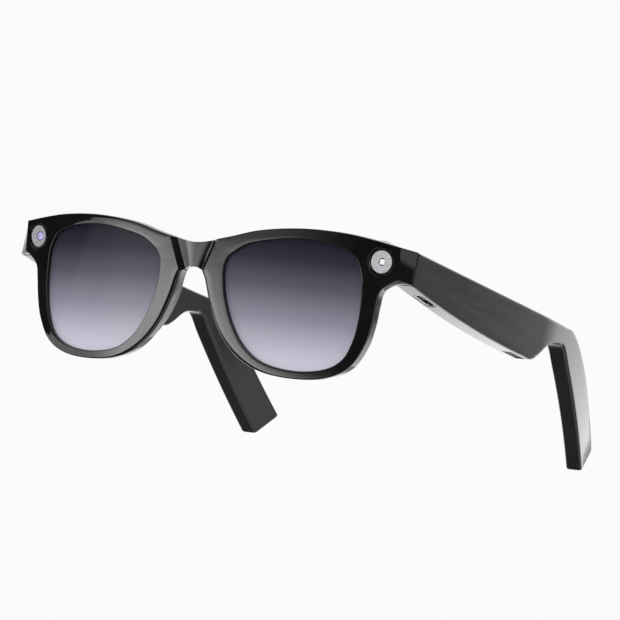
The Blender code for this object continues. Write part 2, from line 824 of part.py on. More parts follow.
def front_leaf(parent, side, name):
    """A plate let into the back of the end piece, with an upper and a lower knuckle on arms."""
    back = RECESS_FLOOR + FIT / 2 + LEAF_THICKNESS
    start = PIN_X - KNUCKLE_RADIUS / 2 - FIT
    low = (side * start, RECESS_FLOOR + FIT / 2, LEAF_BASE)
    leaf = object_of(block(low, (side * front_leaf_end(), back, LEAF_TOP)), name, parent, steel())
    for index in (0, 2):
        base = KNUCKLE_BASES[index]
        arm = block(
            (side * start, back - LEAF_THICKNESS / 2, base),
            (side * (start + KNUCKLE_RADIUS), PIN_Y - PIN_RADIUS - FIT, base + KNUCKLE_HEIGHT),
        )
        join(leaf, arm)
        join(leaf, knuckle(side, index))
    for height in leaf_screw_heights():
        cut(leaf, front_screw_hole(side, height))
    return leaf


def leaf_screw(place, name, parent):
    """A small screw along place's -Z, with its head above place's origin."""
    profile = [
        (LEAF_SCREW_RADIUS, FIT - LEAF_SCREW_LENGTH - LEAF_THICKNESS),
        (LEAF_SCREW_RADIUS, 0.0),
        (LEAF_SCREW_HEAD_RADIUS, 0.0),
        (LEAF_SCREW_HEAD_RADIUS, LEAF_SCREW_HEAD_HEIGHT),
    ]
    return object_of(turned(profile, place, SMALL_SIDES), name, parent, steel())


def front_leaf_screws(parent, side, name):
    for number, height in enumerate(leaf_screw_heights(), 1):
        back = RECESS_FLOOR + FIT / 2 + LEAF_THICKNESS + FIT / 4
        place = Matrix.Translation((side * front_screw_x(), back, height)) @ Matrix.Rotation(
            -math.pi / 2, 4, "X"
        )
        leaf_screw(place, f"{name}_{number}", parent)


def hinge_pin(parent, side, name):
    foot = LEAF_BASE - FIT
    neck = LEAF_TOP + RUNNING_FIT
    profile = [
        (PIN_RADIUS, foot),
        (PIN_RADIUS, neck),
        (PIN_HEAD_RADIUS, neck),
        (PIN_HEAD_RADIUS, neck + PIN_HEAD_HEIGHT),
    ]
    return object_of(turned(profile, pin_place(side, 0.0), SMALL_SIDES), name, parent, steel())


def temple_leaf_span():
    start = PIN_Y - KNUCKLE_RADIUS / 2
    return start, start + TEMPLE_LEAF_LENGTH


def temple_leaf_depth():
    """How deep the temple's leaf lies in its inner face."""
    return LEAF_SCREW_HEAD_HEIGHT + LEAF_THICKNESS + FIT


def temple_leaf_recess(side):
    start, end = temple_leaf_span()
    low = (side * (INNER_X - OVERRUN), start - FIT, LEAF_BASE - FIT)
    high = (side * (INNER_X + temple_leaf_depth()), end + FIT, LEAF_TOP + FIT)
    return block(low, high)


def temple_screw_places(side):
    _, end = temple_leaf_span()
    x = side * (INNER_X + temple_leaf_depth())
    y = end - LEAF_SCREW_HEAD_RADIUS - SCREW_EDGE
    turn = Matrix.Rotation(side * math.pi / 2, 4, "Y")
    return [Matrix.Translation((x, y, height)) @ turn for height in leaf_screw_heights()]


def temple_screw_hole(place):
    radius = LEAF_SCREW_RADIUS + FIT
    return turned([(radius, -OVERRUN), (radius, LEAF_SCREW_LENGTH)], place, SMALL_SIDES)


def temple_leaf(parent, side, name):
    """A plate let into the temple's inner face, with the middle knuckle on a web."""
    start, end = temple_leaf_span()
    outer = INNER_X + temple_leaf_depth() - FIT / 2
    plate = block((side * (outer - LEAF_THICKNESS), start, LEAF_BASE), (side * outer, end, LEAF_TOP))
    leaf = object_of(plate, name, parent, steel())
    base = KNUCKLE_BASES[1]
    web = block(
        (side * (PIN_X + PIN_RADIUS + FIT), PIN_Y - WEB_THICKNESS / 2, base),
        (side * (outer - LEAF_THICKNESS / 2), PIN_Y + WEB_THICKNESS / 2, base + KNUCKLE_HEIGHT),
    )
    join(leaf, web)
    join(leaf, knuckle(side, 1))
    for place in temple_screw_places(side):
        cut(leaf, temple_screw_hole(place))
    return leaf


def temple_leaf_screws(parent, side, name):
    for number, place in enumerate(temple_screw_places(side), 1):
        lifted = place @ Matrix.Translation((0, 0, -LEAF_THICKNESS - FIT))
        leaf_screw(lifted @ Matrix.Rotation(math.pi, 4, "X"), f"{name}_{number}", parent)


# Temple shells


def underside(y):
    """The arm's lower edge, which sags towards the ear and flattens out."""
    share = min(1.0, (y - TEMPLE_START) / (SAG_SHARE * ARM_LENGTH))
    return TEMPLE_TOP - TEMPLE_FRONT_HEIGHT - TEMPLE_SAG * (1 - (1 - share) ** 2)


def tip_axis():
    along = Vector((math.cos(TIP_ANGLE), -math.sin(TIP_ANGLE)))
    across = Vector((math.sin(TIP_ANGLE), math.cos(TIP_ANGLE)))
    return along, across


def temple_pairs():
    """Matched points (y, z) on the temple's upper and lower edges, from the hinge to the tip."""
    pairs = []
    for share in ARM_STATIONS:
        y = TEMPLE_START + share * ARM_LENGTH
        pairs.append((Vector((y, TEMPLE_TOP)), Vector((y, underside(y)))))
    corner = Vector((ARM_END, TEMPLE_TOP))
    for upper, lower in BEND_SHAPE:
        pairs.append((corner + Vector(upper), corner + Vector(lower)))
    along, across = tip_axis()
    start = corner + Vector((TIP_START, -TIP_DROP))
    for share, lowered in TIP_SHAPE.items():
        lower = start + along * TIP_LENGTH * share
        pairs.append((lower + across * (TIP_HEIGHT - lowered), lower))
    return pairs


def tuck(y):
    """How far the tip has curved in towards the head, and its thickness there."""
    reach = TIP_START + TIP_LENGTH * math.cos(TIP_ANGLE) - TUCK_START
    share = max(0.0, (y - ARM_END - TUCK_START) / reach)
    return TIP_TUCK * share * share, lerp(TEMPLE_THICKNESS, TIP_THICKNESS, min(1.0, share))


def temple_point(side, edge, inward):
    """A point of the temple: edge is (y, z), and inward the share of the thickness."""
    offset, thickness = tuck(edge.x)
    return Vector((side * (OUTER_X - offset - thickness * inward), edge.x, edge.y))


def temple_stations():
    pairs = temple_pairs()
    upper = [pair[0] for pair in pairs]
    lower = [pair[1] for pair in pairs]
    sampled = []
    for line in (upper, lower):
        points = smooth_line(line, 2 * line[0] - line[1], 2 * line[-1] - line[-2], TEMPLE_STEPS)
        sampled.append([point for point, _ in points] + [line[-1]])
    return list(zip(*sampled))


def temple_shell(parent, side, name):
    rings = []
    for upper, lower in temple_stations():
        rings.append([
            temple_point(side, upper, 0.0),
            temple_point(side, lower, 0.0),
            temple_point(side, lower, 1.0),
            temple_point(side, upper, 1.0),
        ])
    shell = object_of(loft(rings), name, parent, gloss_black())
    cut(shell, arm_prism(side, TEMPLE_WALL, 0.0, bay_depth(), 0.0))
    cut(shell, arm_prism(side, TEMPLE_WALL - LID_LAP, LID_LAP, LID_THICKNESS + FIT, 0.0))
    cut(shell, temple_leaf_recess(side))
    for place in temple_screw_places(side):
        cut(shell, temple_screw_hole(place))
    cut(shell, grille_slot(side))
    return shell


def bay_depth():
    return TEMPLE_THICKNESS - OUTER_WALL


def bay_start():
    return TEMPLE_START + BAY_SETBACK


def bay_end():
    return ARM_END - TEMPLE_WALL


def bay_top():
    return TEMPLE_TOP - TEMPLE_WALL


def bay_floor(y):
    return underside(y) + TEMPLE_WALL


def arm_prism(side, wall, lap, depth, shrink):
    """A solid let into the arm's inner face, following its edges at this distance."""
    start = bay_start() - lap + shrink
    end = bay_end() + lap - shrink
    line = [lerp(start, end, i / BAY_STEPS) for i in range(BAY_STEPS + 1)]
    edge = [Vector((y, underside(y) + wall + shrink)) for y in line]
    edge += [Vector((end, TEMPLE_TOP - wall - shrink)), Vector((start, TEMPLE_TOP - wall - shrink))]
    outside = INNER_X if shrink else INNER_X - OVERRUN
    rings = []
    for x in (outside, INNER_X + depth):
        rings.append([Vector((side * x, point.x, point.y)) for point in edge])
    return loft(rings)


def temple_lid(parent, side, name):
    lid = arm_prism(side, TEMPLE_WALL - LID_LAP, LID_LAP, LID_THICKNESS, FIT)
    return object_of(lid, name, parent, satin_black())


# What the temples hold


def bay_middle():
    """The middle of the bay across the temple, behind the lid."""
    front = INNER_X + LID_THICKNESS + FIT
    return (front + INNER_X + bay_depth()) / 2


def bay_half_width():
    return (bay_depth() - LID_THICKNESS - FIT) / 2


def circuit_span():
    start = bay_start() + FIT
    return start, start + CIRCUIT_LENGTH


def battery_span():
    _, start = circuit_span()
    return start + 2 * FIT, grille_middle() - SPEAKER_LENGTH / 2 - 2 * FIT


def grille_middle():
    return bay_end() - FIT - SPEAKER_LENGTH / 2


def battery(parent, side, name):
    start, end = battery_span()
    reach = bay_half_width() - FIT
    rings = []
    for x in (bay_middle() - reach, bay_middle() + reach):
        rings.append([
            Vector((side * x, start, bay_floor(start) + FIT)),
            Vector((side * x, end, bay_floor(end) + FIT)),
            Vector((side * x, end, bay_top() - FIT)),
            Vector((side * x, start, bay_top() - FIT)),
        ])
    return object_of(loft(rings), name, parent, finish("cell_wrap", (0.32, 0.34, 0.36), 0.35, 0.4))


def circuit(parent, side, name):
    """The main board, which lies against the outer wall and clears the port and the button."""
    start, end = circuit_span()
    outer = INNER_X + bay_depth() - FIT
    low = (side * (outer - CIRCUIT_THICKNESS), start, underside(start) + PORT_HEIGHT + 2 * FIT)
    high = (side * outer, end, bay_top() - BUTTON_FLANGE - BUTTON_TRAVEL - 2 * FIT)
    return object_of(block(low, high), name, parent, board_green())


def grille_slot(side):
    y = grille_middle()
    half = GRILLE_LENGTH / 2 + FIT
    reach = GRILLE_WIDTH / 2 + FIT
    low = (side * (bay_middle() - reach), y - half, underside(y) - OVERRUN)
    return block(low, (side * (bay_middle() + reach), y + half, bay_floor(y) + SEAM_GAP))


def speaker_grille(parent, side, name):
    y = grille_middle()
    half = GRILLE_LENGTH / 2
    reach = GRILLE_WIDTH / 2
    base = underside(y) + FIT
    low = (side * (bay_middle() - reach), y - half, base)
    grille = object_of(
        block(low, (side * (bay_middle() + reach), y + half, base + TEMPLE_WALL / 2)),
        name,
        parent,
        finish("grille_grey", (0.05, 0.05, 0.05), 0.5),
    )
    pitch = GRILLE_LENGTH / (GRILLE_HOLES + 1)
    for i in range(GRILLE_HOLES):
        centre = (side * bay_middle(), y - half + (i + 1) * pitch, base - OVERRUN)
        hole = [(GRILLE_HOLE_RADIUS, 0.0), (GRILLE_HOLE_RADIUS, 2 * OVERRUN)]
        cut(grille, turned(hole, Matrix.Translation(centre), SMALL_SIDES))
    return grille


def speaker(parent, side, name):
    y = grille_middle()
    half = SPEAKER_LENGTH / 2
    reach = bay_half_width() - FIT
    base = bay_floor(y) + 2 * FIT
    body = block(
        (side * (bay_middle() - reach), y - half, base),
        (side * (bay_middle() + reach), y + half, base + SPEAKER_HEIGHT),
    )
    return object_of(body, name, parent, finish("speaker_body", (0.03, 0.03, 0.03), 0.45))


def port_outline(grow):
    """The charging port's rounded outline in x and y, about its middle."""
    half = PORT_LENGTH / 2 + grow
    radius = PORT_WIDTH / 2 + grow
    points = []
    for end in (1, -1):
        for i in range(END_STEPS + 1):
            angle = math.pi * i / END_STEPS + (0 if end == 1 else math.pi)
            middle = end * (half - radius)
            points.append((radius * math.cos(angle), middle + radius * math.sin(angle)))
    return points


def port_mouth():
    return underside(TEMPLE_START + PORT_SETBACK + PORT_LENGTH / 2) + FIT


def port_solid(side, grow, low, high):
    y = TEMPLE_START + PORT_SETBACK
    rings = []
    for z in (low, high):
        outline = port_outline(grow)
        rings.append([Vector((side * (bay_middle() + x), y + dy, z)) for x, dy in outline])
    return loft(rings)


def charging_port(parent, side, name):
    """A metal shell with a tongue in it, open downwards."""
    mouth = port_mouth()
    top = mouth + PORT_HEIGHT
    port = object_of(port_solid(side, 0.0, mouth, top), name, parent, steel())
    cut(port, port_solid(side, -PORT_WALL, mouth - OVERRUN, top - PORT_BACK))
    y = TEMPLE_START + PORT_SETBACK
    half = TONGUE_THICKNESS / 2
    tongue = block(
        (side * (bay_middle() - half), y - TONGUE_LENGTH / 2, mouth + TONGUE_RECESS),
        (side * (bay_middle() + half), y + TONGUE_LENGTH / 2, top - PORT_BACK / 2),
    )
    join(port, tongue)
    return port


def button_middle():
    return TEMPLE_START + BUTTON_SETBACK


def button_width():
    return BUTTON_SHARE * 2 * bay_half_width()


def rounded_bar(side, x, y, length, width, low, high):
    """An upright solid with round ends."""
    radius = width / 2
    points = []
    for end in (1, -1):
        for i in range(END_STEPS + 1):
            angle = math.pi * i / END_STEPS + (0 if end == 1 else math.pi)
            middle = end * (length / 2 - radius)
            points.append((radius * math.cos(angle), middle + radius * math.sin(angle)))
    rings = []
    for z in (low, high):
        rings.append([Vector((side * (x + dx), y + dy, z)) for dx, dy in points])
    return loft(rings)


def capture_button(parent, side, name):
    """A cap through the temple's top wall, with a flange under it that stops it from rising."""
    x, y = bay_middle(), button_middle()
    ceiling = bay_top() - FIT
    low, top = ceiling - BUTTON_FLANGE / 2, TEMPLE_TOP + BUTTON_PROUD
    cap = rounded_bar(side, x, y, BUTTON_LENGTH, button_width(), low, top)
    button = object_of(cap, name, parent, gloss_black())
    wide = button_width() + 2 * (FIT + BUTTON_LAP)
    long = BUTTON_LENGTH + 2 * (FIT + BUTTON_LAP)
    join(button, rounded_bar(side, x, y, long, wide, ceiling - BUTTON_FLANGE, ceiling))
    return button


def button_hole(side):
    length = BUTTON_LENGTH + 2 * FIT
    width = button_width() + 2 * FIT
    low, high = bay_top() - OVERRUN, TEMPLE_TOP + OVERRUN
    return rounded_bar(side, bay_middle(), button_middle(), length, width, low, high)


def button_switch(parent, side, name):
    top = bay_top() - FIT - BUTTON_FLANGE - BUTTON_TRAVEL - RUNNING_FIT
    y = button_middle()
    inner = bay_middle() - bay_half_width() + FIT
    outer = bay_middle() + bay_half_width() - CIRCUIT_THICKNESS - 2 * FIT
    low = (side * inner, y - SWITCH_LENGTH / 2, top - SWITCH_HEIGHT)
    body = block(low, (side * outer, y + SWITCH_LENGTH / 2, top))
    return object_of(body, name, parent, finish("switch_tin", (0.5, 0.5, 0.5), 0.3, 1.0))


def microphone_base():
    return bay_floor(TEMPLE_START + MICROPHONE_SETBACK - MICROPHONE_SIZE[1] / 2) + FIT


def microphone(parent, side, name):
    x, y = bay_middle() - FIT, TEMPLE_START + MICROPHONE_SETBACK
    wide, long, tall = MICROPHONE_SIZE
    low = (side * (x - wide / 2), y - long / 2, microphone_base())
    high = (side * (x + wide / 2), y + long / 2, microphone_base() + tall)
    brass = finish("microphone_can", (0.6, 0.5, 0.3), 0.3, 1.0)
    return object_of(block(low, high), name, parent, brass)


def microphone_hole(side):
    y = TEMPLE_START + MICROPHONE_SETBACK
    place = Matrix.Translation((side * bay_middle(), y, underside(y) - OVERRUN))
    radius = MICROPHONE_HOLE_RADIUS
    return turned([(radius, 0.0), (radius, 2 * OVERRUN)], place, SMALL_SIDES)


# Assembly


def empty(name, parent, location):
    made = bpy.data.objects.new(name, None)
    bpy.context.scene.collection.objects.link(made)
    made.location = location
    made.parent = parent
    return made


def glasses_root():
    """The empty that carries everything, set so that the origin is under the middle."""
    front = min(front_y(outside.x, outside.y) for _, _, outside, _ in ribs())
    upper, _ = temple_pairs()[-1]
    return empty("glasses", None, (0.0, -(front + upper.x) / 2, 0.0))


def build_front(parent):
    front_frame(parent)
    rear_cover(parent)
    front_flex(parent)
    camera_module(parent, -1)
    light_module(parent, 1)
    for side, word in ((1, "left"), (-1, "right")):
        lens(parent, side, f"lens_{word}")
        front_leaf(parent, side, f"front_hinge_leaf_{word}")
        front_leaf_screws(parent, side, f"front_leaf_screw_{word}")
        hinge_pin(parent, side, f"hinge_pin_{word}")


def build_temple(parent, side, word):
    pivot = empty(f"{word}_temple_pivot", parent, (side * PIN_X, PIN_Y, 0.0))
    shell = temple_shell(pivot, side, f"{word}_temple_shell")
    temple_lid(pivot, side, f"{word}_temple_lid")
    temple_leaf(pivot, side, f"{word}_temple_leaf")
    temple_leaf_screws(pivot, side, f"{word}_temple_leaf_screw")
    circuit(pivot, side, f"{word}_circuit")
    battery(pivot, side, f"{word}_battery")
    speaker(pivot, side, f"{word}_speaker")
    speaker_grille(pivot, side, f"{word}_speaker_grille")
    return pivot, shell


def build():
    clear_scene()
    root = glasses_root()
    build_front(root)
    left, left_shell = build_temple(root, 1, "left")
    cut(left_shell, port_solid(1, FIT, port_mouth() - OVERRUN, port_mouth() + PORT_HEIGHT + FIT))
    charging_port(left, 1, "charging_port")
    right, right_shell = build_temple(root, -1, "right")
    cut(right_shell, button_hole(-1))
    cut(right_shell, microphone_hole(-1))
    capture_button(right, -1, "capture_button")
    button_switch(right, -1, "button_switch")
    microphone(right, -1, "microphone")


build()
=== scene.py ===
"""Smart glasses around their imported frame. Metres; +X is the wearer's left, the front faces -Y."""

import math

import bmesh
import bpy
from mathutils import Matrix, Vector


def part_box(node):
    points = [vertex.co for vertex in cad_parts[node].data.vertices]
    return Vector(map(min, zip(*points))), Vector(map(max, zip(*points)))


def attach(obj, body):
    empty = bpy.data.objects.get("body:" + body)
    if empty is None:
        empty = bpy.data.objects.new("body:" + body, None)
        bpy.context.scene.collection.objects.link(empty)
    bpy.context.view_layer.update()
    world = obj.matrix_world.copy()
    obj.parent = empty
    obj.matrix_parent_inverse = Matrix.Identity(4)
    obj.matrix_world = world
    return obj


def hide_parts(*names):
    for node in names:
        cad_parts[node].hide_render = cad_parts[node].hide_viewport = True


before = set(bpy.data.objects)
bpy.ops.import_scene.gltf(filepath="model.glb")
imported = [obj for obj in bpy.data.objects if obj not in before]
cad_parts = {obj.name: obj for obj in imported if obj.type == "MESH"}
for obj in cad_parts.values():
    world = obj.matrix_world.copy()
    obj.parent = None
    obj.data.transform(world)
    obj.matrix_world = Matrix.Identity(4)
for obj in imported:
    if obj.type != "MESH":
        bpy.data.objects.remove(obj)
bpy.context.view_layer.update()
MM = 0.001


# Studio. A wide pale sweep of paper lies just under the rims, lit by a white tent with one soft
# panel at the front left and dark flags beside it. The camera sits low, off the wearer's left.

CAMERA_PLACE = Vector((0.630279, -0.870080, -0.140057))
CAMERA_AZIMUTH = math.radians(36.0963)
CAMERA_RISE = math.radians(9.2170)
CAMERA_ROLL = math.radians(11.656)
CAMERA_LENS = 191.61
FLOOR_REACH = 3.0
FLOOR_GAP = 0.4 * MM
TENT_WHITE = 0.965
# Turns in degrees from straight ahead of the wearer to the wearer's right, and rises from level
FLAG_TURN = (-58.0, -50.0, 92.0, 104.0)
FLAG_RISE = (-48.0, -38.0, 20.0, 34.0)
PANEL_TURN = (18.0, 33.0)
PANEL_SLANT = 4.3
PANEL_EDGE = (21.2, 20.6)
PANEL_RISE = (-22.0, -14.0)
PANEL_LEVEL = 0.9
BRIGHT_TURN = 45.0
BRIGHT_SLANT = 0.236
BRIGHT_EDGE = (-6.9, -9.8)
BRIGHT_LEVEL = 4.2
FAR_TURN = (52.0, 46.0)
FAR_LEVEL = 0.2
SIDE_TURN = (-118.0, -128.0)
SIDE_BRIGHTENS = -146.8
SIDE_SLOPE = 0.38
SIDE_MOST = 2.7
SIDE_DIM = -0.47
CLOTH_TURN = (20.0, 40.0, 110.0, 130.0)
CLOTH_RISE = (-34.0, -44.0)
CLOTH_DARK = 0.78
UNDER_TURN = (122.0, 132.0, 158.0, 168.0)
UNDER_RISE = (-46.0, -36.0, -7.0, -1.0)
UNDER_LEVEL = 1.1


def plug(tree, socket, value):
    """Links another node's output into the socket, or sets its value."""
    if isinstance(value, bpy.types.NodeSocket):
        tree.links.new(value, socket)
    else:
        socket.default_value = value


def node(tree, kind, **inputs):
    """A new node, its inputs plugged by name, or by number after an underscore."""
    made = tree.nodes.new(kind)
    for name, value in inputs.items():
        plug(tree, made.inputs[int(name[1:]) if name[0] == "_" else name.replace("_", " ")], value)
    return made


def maths(tree, operation, *values):
    made = tree.nodes.new("ShaderNodeMath")
    made.operation = operation
    for socket, value in zip(made.inputs, values):
        plug(tree, socket, value)
    return made.outputs[0]


def product(tree, first, *others):
    for value in others:
        first = maths(tree, "MULTIPLY", first, value)
    return first


def step_between(tree, value, low, high):
    """0 below low and 1 above high, smoothly; low may lie above high."""
    first = 0.0 if low < high else 1.0
    made = node(
        tree, "ShaderNodeMapRange", Value=value, From_Min=min(low, high), From_Max=max(low, high),
        To_Min=first, To_Max=1.0 - first,
    )
    made.interpolation_type = "SMOOTHSTEP"
    return made.outputs[0]


def band(tree, value, start, full, fading, gone):
    """1 from full to fading, and 0 outside start and gone."""
    edges = (start, full), (gone, fading)
    return product(tree, *(step_between(tree, value, low, high) for low, high in edges))


def light_the_tent():
    world = bpy.data.worlds.new("tent")
    bpy.context.scene.world = world
    world.use_nodes = True
    tree = world.node_tree
    tree.nodes.clear()
    toward = node(tree, "ShaderNodeTexCoord").outputs["Generated"]
    x, y, z = node(tree, "ShaderNodeSeparateXYZ", Vector=toward).outputs
    right, ahead = (maths(tree, "MULTIPLY", along, -1.0) for along in (x, y))
    turn = maths(tree, "DEGREES", maths(tree, "ARCTAN2", right, ahead))
    rise = maths(tree, "DEGREES", maths(tree, "ARCSINE", z))
    # The flags: everything in front of the wearer, as wide as the front can mirror it
    flag = product(tree, band(tree, turn, *FLAG_TURN), band(tree, rise, *FLAG_RISE))
    # The panel: a slanted far edge, a soft near edge, and a bright middle that slants as well
    slanted = maths(tree, "ADD", turn, product(tree, rise, PANEL_SLANT))
    panel = product(
        tree, step_between(tree, turn, *PANEL_TURN), step_between(tree, slanted, *PANEL_EDGE),
        step_between(tree, rise, *PANEL_RISE),
    )
    leaning = product(tree, maths(tree, "SUBTRACT", turn, BRIGHT_TURN), BRIGHT_SLANT)
    bright = step_between(tree, maths(tree, "SUBTRACT", rise, leaning), *BRIGHT_EDGE)
    far = product(tree, step_between(tree, turn, *FAR_TURN), 1.0 - FAR_LEVEL)
    far = maths(tree, "ADD", FAR_LEVEL, far)
    glow = maths(tree, "ADD", PANEL_LEVEL, product(tree, bright, BRIGHT_LEVEL, far))
    # Behind the wearer's left: dimmer abreast of the temple, brighter beyond it
    beyond = product(tree, maths(tree, "SUBTRACT", SIDE_BRIGHTENS, turn), SIDE_SLOPE)
    beyond = maths(tree, "MINIMUM", maths(tree, "MAXIMUM", beyond, 0.0), SIDE_MOST)
    side = product(tree, step_between(tree, turn, *SIDE_TURN), maths(tree, "ADD", beyond, SIDE_DIM))
    # Low down on the wearer's right lies dark cloth, which the fronts of the tips mirror
    low_down = step_between(tree, rise, *CLOTH_RISE)
    cloth = product(tree, low_down, band(tree, turn, *CLOTH_TURN), -CLOTH_DARK)
    # A second panel behind and below, which the undersides mirror
    under = product(tree, band(tree, turn, *UNDER_TURN), band(tree, rise, *UNDER_RISE), UNDER_LEVEL)
    parts = [maths(tree, "ADD", 1.0, part) for part in (side, cloth, under)]
    around = product(tree, *parts, TENT_WHITE)
    open_sky = maths(tree, "SUBTRACT", 1.0, flag)
    strength = maths(tree, "ADD", product(tree, open_sky, around), product(tree, panel, glow, flag))
    tent = node(tree, "ShaderNodeBackground", Color=(1, 1, 1, 1), Strength=strength)
    plain = node(tree, "ShaderNodeBackground", Color=(1, 1, 1, 1), Strength=TENT_WHITE)
    glossy = node(tree, "ShaderNodeLightPath").outputs["Is Glossy Ray"]
    mix = node(tree, "ShaderNodeMixShader", _0=glossy, _1=plain.outputs[0], _2=tent.outputs[0])
    node(tree, "ShaderNodeOutputWorld", Surface=mix.outputs[0])


def lay_the_floor():
    """Pale paper that hides nothing from below, because the camera looks up from under it."""
    mesh = bpy.data.meshes.new("floor")
    reach = FLOOR_REACH
    corners = [(-reach, -reach), (reach, -reach), (reach, reach), (-reach, reach)]
    mesh.from_pydata([(x, y, -FLOOR_GAP) for x, y in corners], [], [(0, 1, 2, 3)])
    floor = bpy.data.objects.new("floor", mesh)
    bpy.context.scene.collection.objects.link(floor)
    paper = bpy.data.materials.new("paper")
    paper.use_nodes = True
    tree = paper.node_tree
    shader = tree.nodes["Principled BSDF"]
    shader.inputs["Base Color"].default_value = (0.86, 0.86, 0.86, 1)
    shader.inputs["Roughness"].default_value = 0.9
    under = node(tree, "ShaderNodeNewGeometry").outputs["Backfacing"]
    clear = node(tree, "ShaderNodeBsdfTransparent")
    mix = node(tree, "ShaderNodeMixShader", _0=under, _1=shader.outputs[0], _2=clear.outputs[0])
    tree.links.new(mix.outputs[0], tree.nodes["Material Output"].inputs["Surface"])
    mesh.materials.append(paper)
    floor.visible_glossy = False


def place_the_camera():
    data = bpy.data.cameras.new("camera")
    data.lens = CAMERA_LENS
    data.sensor_width = 36.0
    data.clip_start = 0.01
    camera = bpy.data.objects.new("camera", data)
    bpy.context.scene.collection.objects.link(camera)
    turn = Matrix.Rotation(CAMERA_AZIMUTH, 4, "Z")
    lift = Matrix.Rotation(math.pi / 2 + CAMERA_RISE, 4, "X")
    roll = Matrix.Rotation(CAMERA_ROLL, 4, "Z")
    camera.matrix_world = Matrix.Translation(CAMERA_PLACE) @ turn @ lift @ roll
    bpy.context.scene.camera = camera


light_the_tent()
lay_the_floor()
place_the_camera()
bpy.context.scene.view_settings.view_transform = "Standard"


# Front moulding. The brow, both rims, the bridge and the two end pieces are one injection-moulded
# part in gloss black nylon, tilted at the top and wrapped round the face, with every edge rounded.

LENS_WIDTH = 49.3 * MM
LENS_HEIGHT = 39.5 * MM
LENS_GAP = 25.2 * MM
RIM_TOP = 3.2 * MM
RIM_BOTTOM = 2.5 * MM
BRIDGE_TOP_DROP = 6.9 * MM
BRIDGE_HEIGHT = 7.6 * MM
FRONT_TILT = math.radians(12.4)
WRAP_RADIUS = 400.0 * MM
FRONT_THICKNESS = 3.2 * MM
LIP_THICKNESS = 1.3 * MM
SEAT_WIDTH = 1.2 * MM
END_PIECE_WIDTH = 11.6 * MM
END_PIECE_HEIGHT = 9.5 * MM
END_PIECE_DROP = 2.6 * MM
END_PIECE_DEPTH = 1.55 * MM
END_PIECE_EDGE = 3.0 * MM
BROW_TURN = 0.73
TEMPLE_OVERHANG = 3.9 * MM
TEMPLE_FRONT_HEIGHT = 10.3 * MM
TEMPLE_TOP_ABOVE_LENS = 0.4 * MM
OUTER_EDGE = 0.4 * MM
INNER_EDGE = 0.28 * MM
NOSE_BEVEL = 1.35 * MM
NOSE_BEVEL_BACK = 0.945 * MM
NOSE_BEVEL_PLACES = (14.2, 16.2, 19.4, 20.6)
BACK_EDGE = 0.3 * MM
SEAM_GAP = 0.3 * MM
FIT = 0.2 * MM
OVERRUN = 2.0 * MM
RIB_STEPS = 6
EDGE_STEPS = 4

OPENING_SHAPE = [
    (-0.895, 0.686), (-0.700, 0.828), (-0.456, 0.909), (0.050, 1.000), (0.517, 0.975),
    (0.822, 0.868), (0.935, 0.716), (0.992, 0.514), (1.000, 0.337), (1.000, 0.109),
    (0.984, -0.144), (0.931, -0.448), (0.801, -0.752), (0.538, -0.934), (0.112, -1.000),
    (-0.335, -0.924), (-0.631, -0.701), (-0.830, -0.372), (-0.955, 0.008), (-1.000, 0.311),
    (-1.000, 0.473), (-0.988, 0.539), (-0.951, 0.625),
]
BROW_LAST, END_TOP, END_BOTTOM, END_LAST = 5, 6, 7, 8
BRIDGE_BOTTOM, BRIDGE_MIDDLE = 21, 22
BROW_SHAPE = {1: (-0.984, 0.33), 2: (-0.497, 0.75), 3: (0.11, 0.985), 4: (0.68, 0.978)}
ARCH_SHAPE = {19: (0.194, 2.5 * MM), 20: (0.087, 0.25 * MM)}
RIM_WIDTHS = {
    8: 6.3 * MM, 9: 5.0 * MM, 10: 4.6 * MM, 11: 4.1 * MM, 12: 3.3 * MM, 13: 2.7 * MM,
    14: RIM_BOTTOM, 15: 3.0 * MM, 16: 4.3 * MM, 17: 5.5 * MM, 18: 6.3 * MM,
}

shell_low, shell_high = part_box("left_temple_shell")
LENS_X = (LENS_GAP + LENS_WIDTH) / 2
LENS_Z = RIM_BOTTOM + LENS_HEIGHT / 2
LENS_TOP = RIM_BOTTOM + LENS_HEIGHT
BROW_Z = LENS_TOP + RIM_TOP
CORNER_X = LENS_X + LENS_WIDTH / 2 + END_PIECE_WIDTH
OUTER_X = shell_high.x
TEMPLE_TOP = LENS_TOP + TEMPLE_TOP_ABOVE_LENS
TEMPLE_START = shell_low.y
SEAM_Y = TEMPLE_START - SEAM_GAP
FRONT_Y = SEAM_Y - CORNER_X * CORNER_X / (2 * WRAP_RADIUS) - FRONT_THICKNESS - END_PIECE_DEPTH


def lerp(a, b, share):
    return a + (b - a) * share


def smooth_span(before, start, end, after, share):
    """A point and its direction on a smooth curve through start and end."""
    square = share * share
    cube = square * share
    point = 0.5 * (
        2 * start
        + (end - before) * share
        + (2 * before - 5 * start + 4 * end - after) * square
        + (3 * start - before - 3 * end + after) * cube
    )
    slope = 0.5 * (
        (end - before)
        + 2 * (2 * before - 5 * start + 4 * end - after) * share
        + 3 * (3 * start - before - 3 * end + after) * square
    )
    return point, slope.normalized()


def smooth_line(points, before, after, steps):
    """Samples of (point, direction) through the points, leaving out the last point."""
    line = [before, *points, after]
    samples = []
    for i in range(1, len(line) - 2):
        for step in range(steps):
            samples.append(smooth_span(*line[i - 1 : i + 3], step / steps))
    return samples


def straight_line(points, steps):
    samples = []
    for start, end in zip(points, points[1:]):
        for step in range(steps):
            samples.append((lerp(start, end, step / steps), (end - start).normalized()))
    return samples


def outward(direction):
    return Vector((-direction.y, direction.x))


def front_y(x, z):
    return FRONT_Y + x * x / (2 * WRAP_RADIUS) + math.tan(FRONT_TILT) * (TEMPLE_TOP - z)


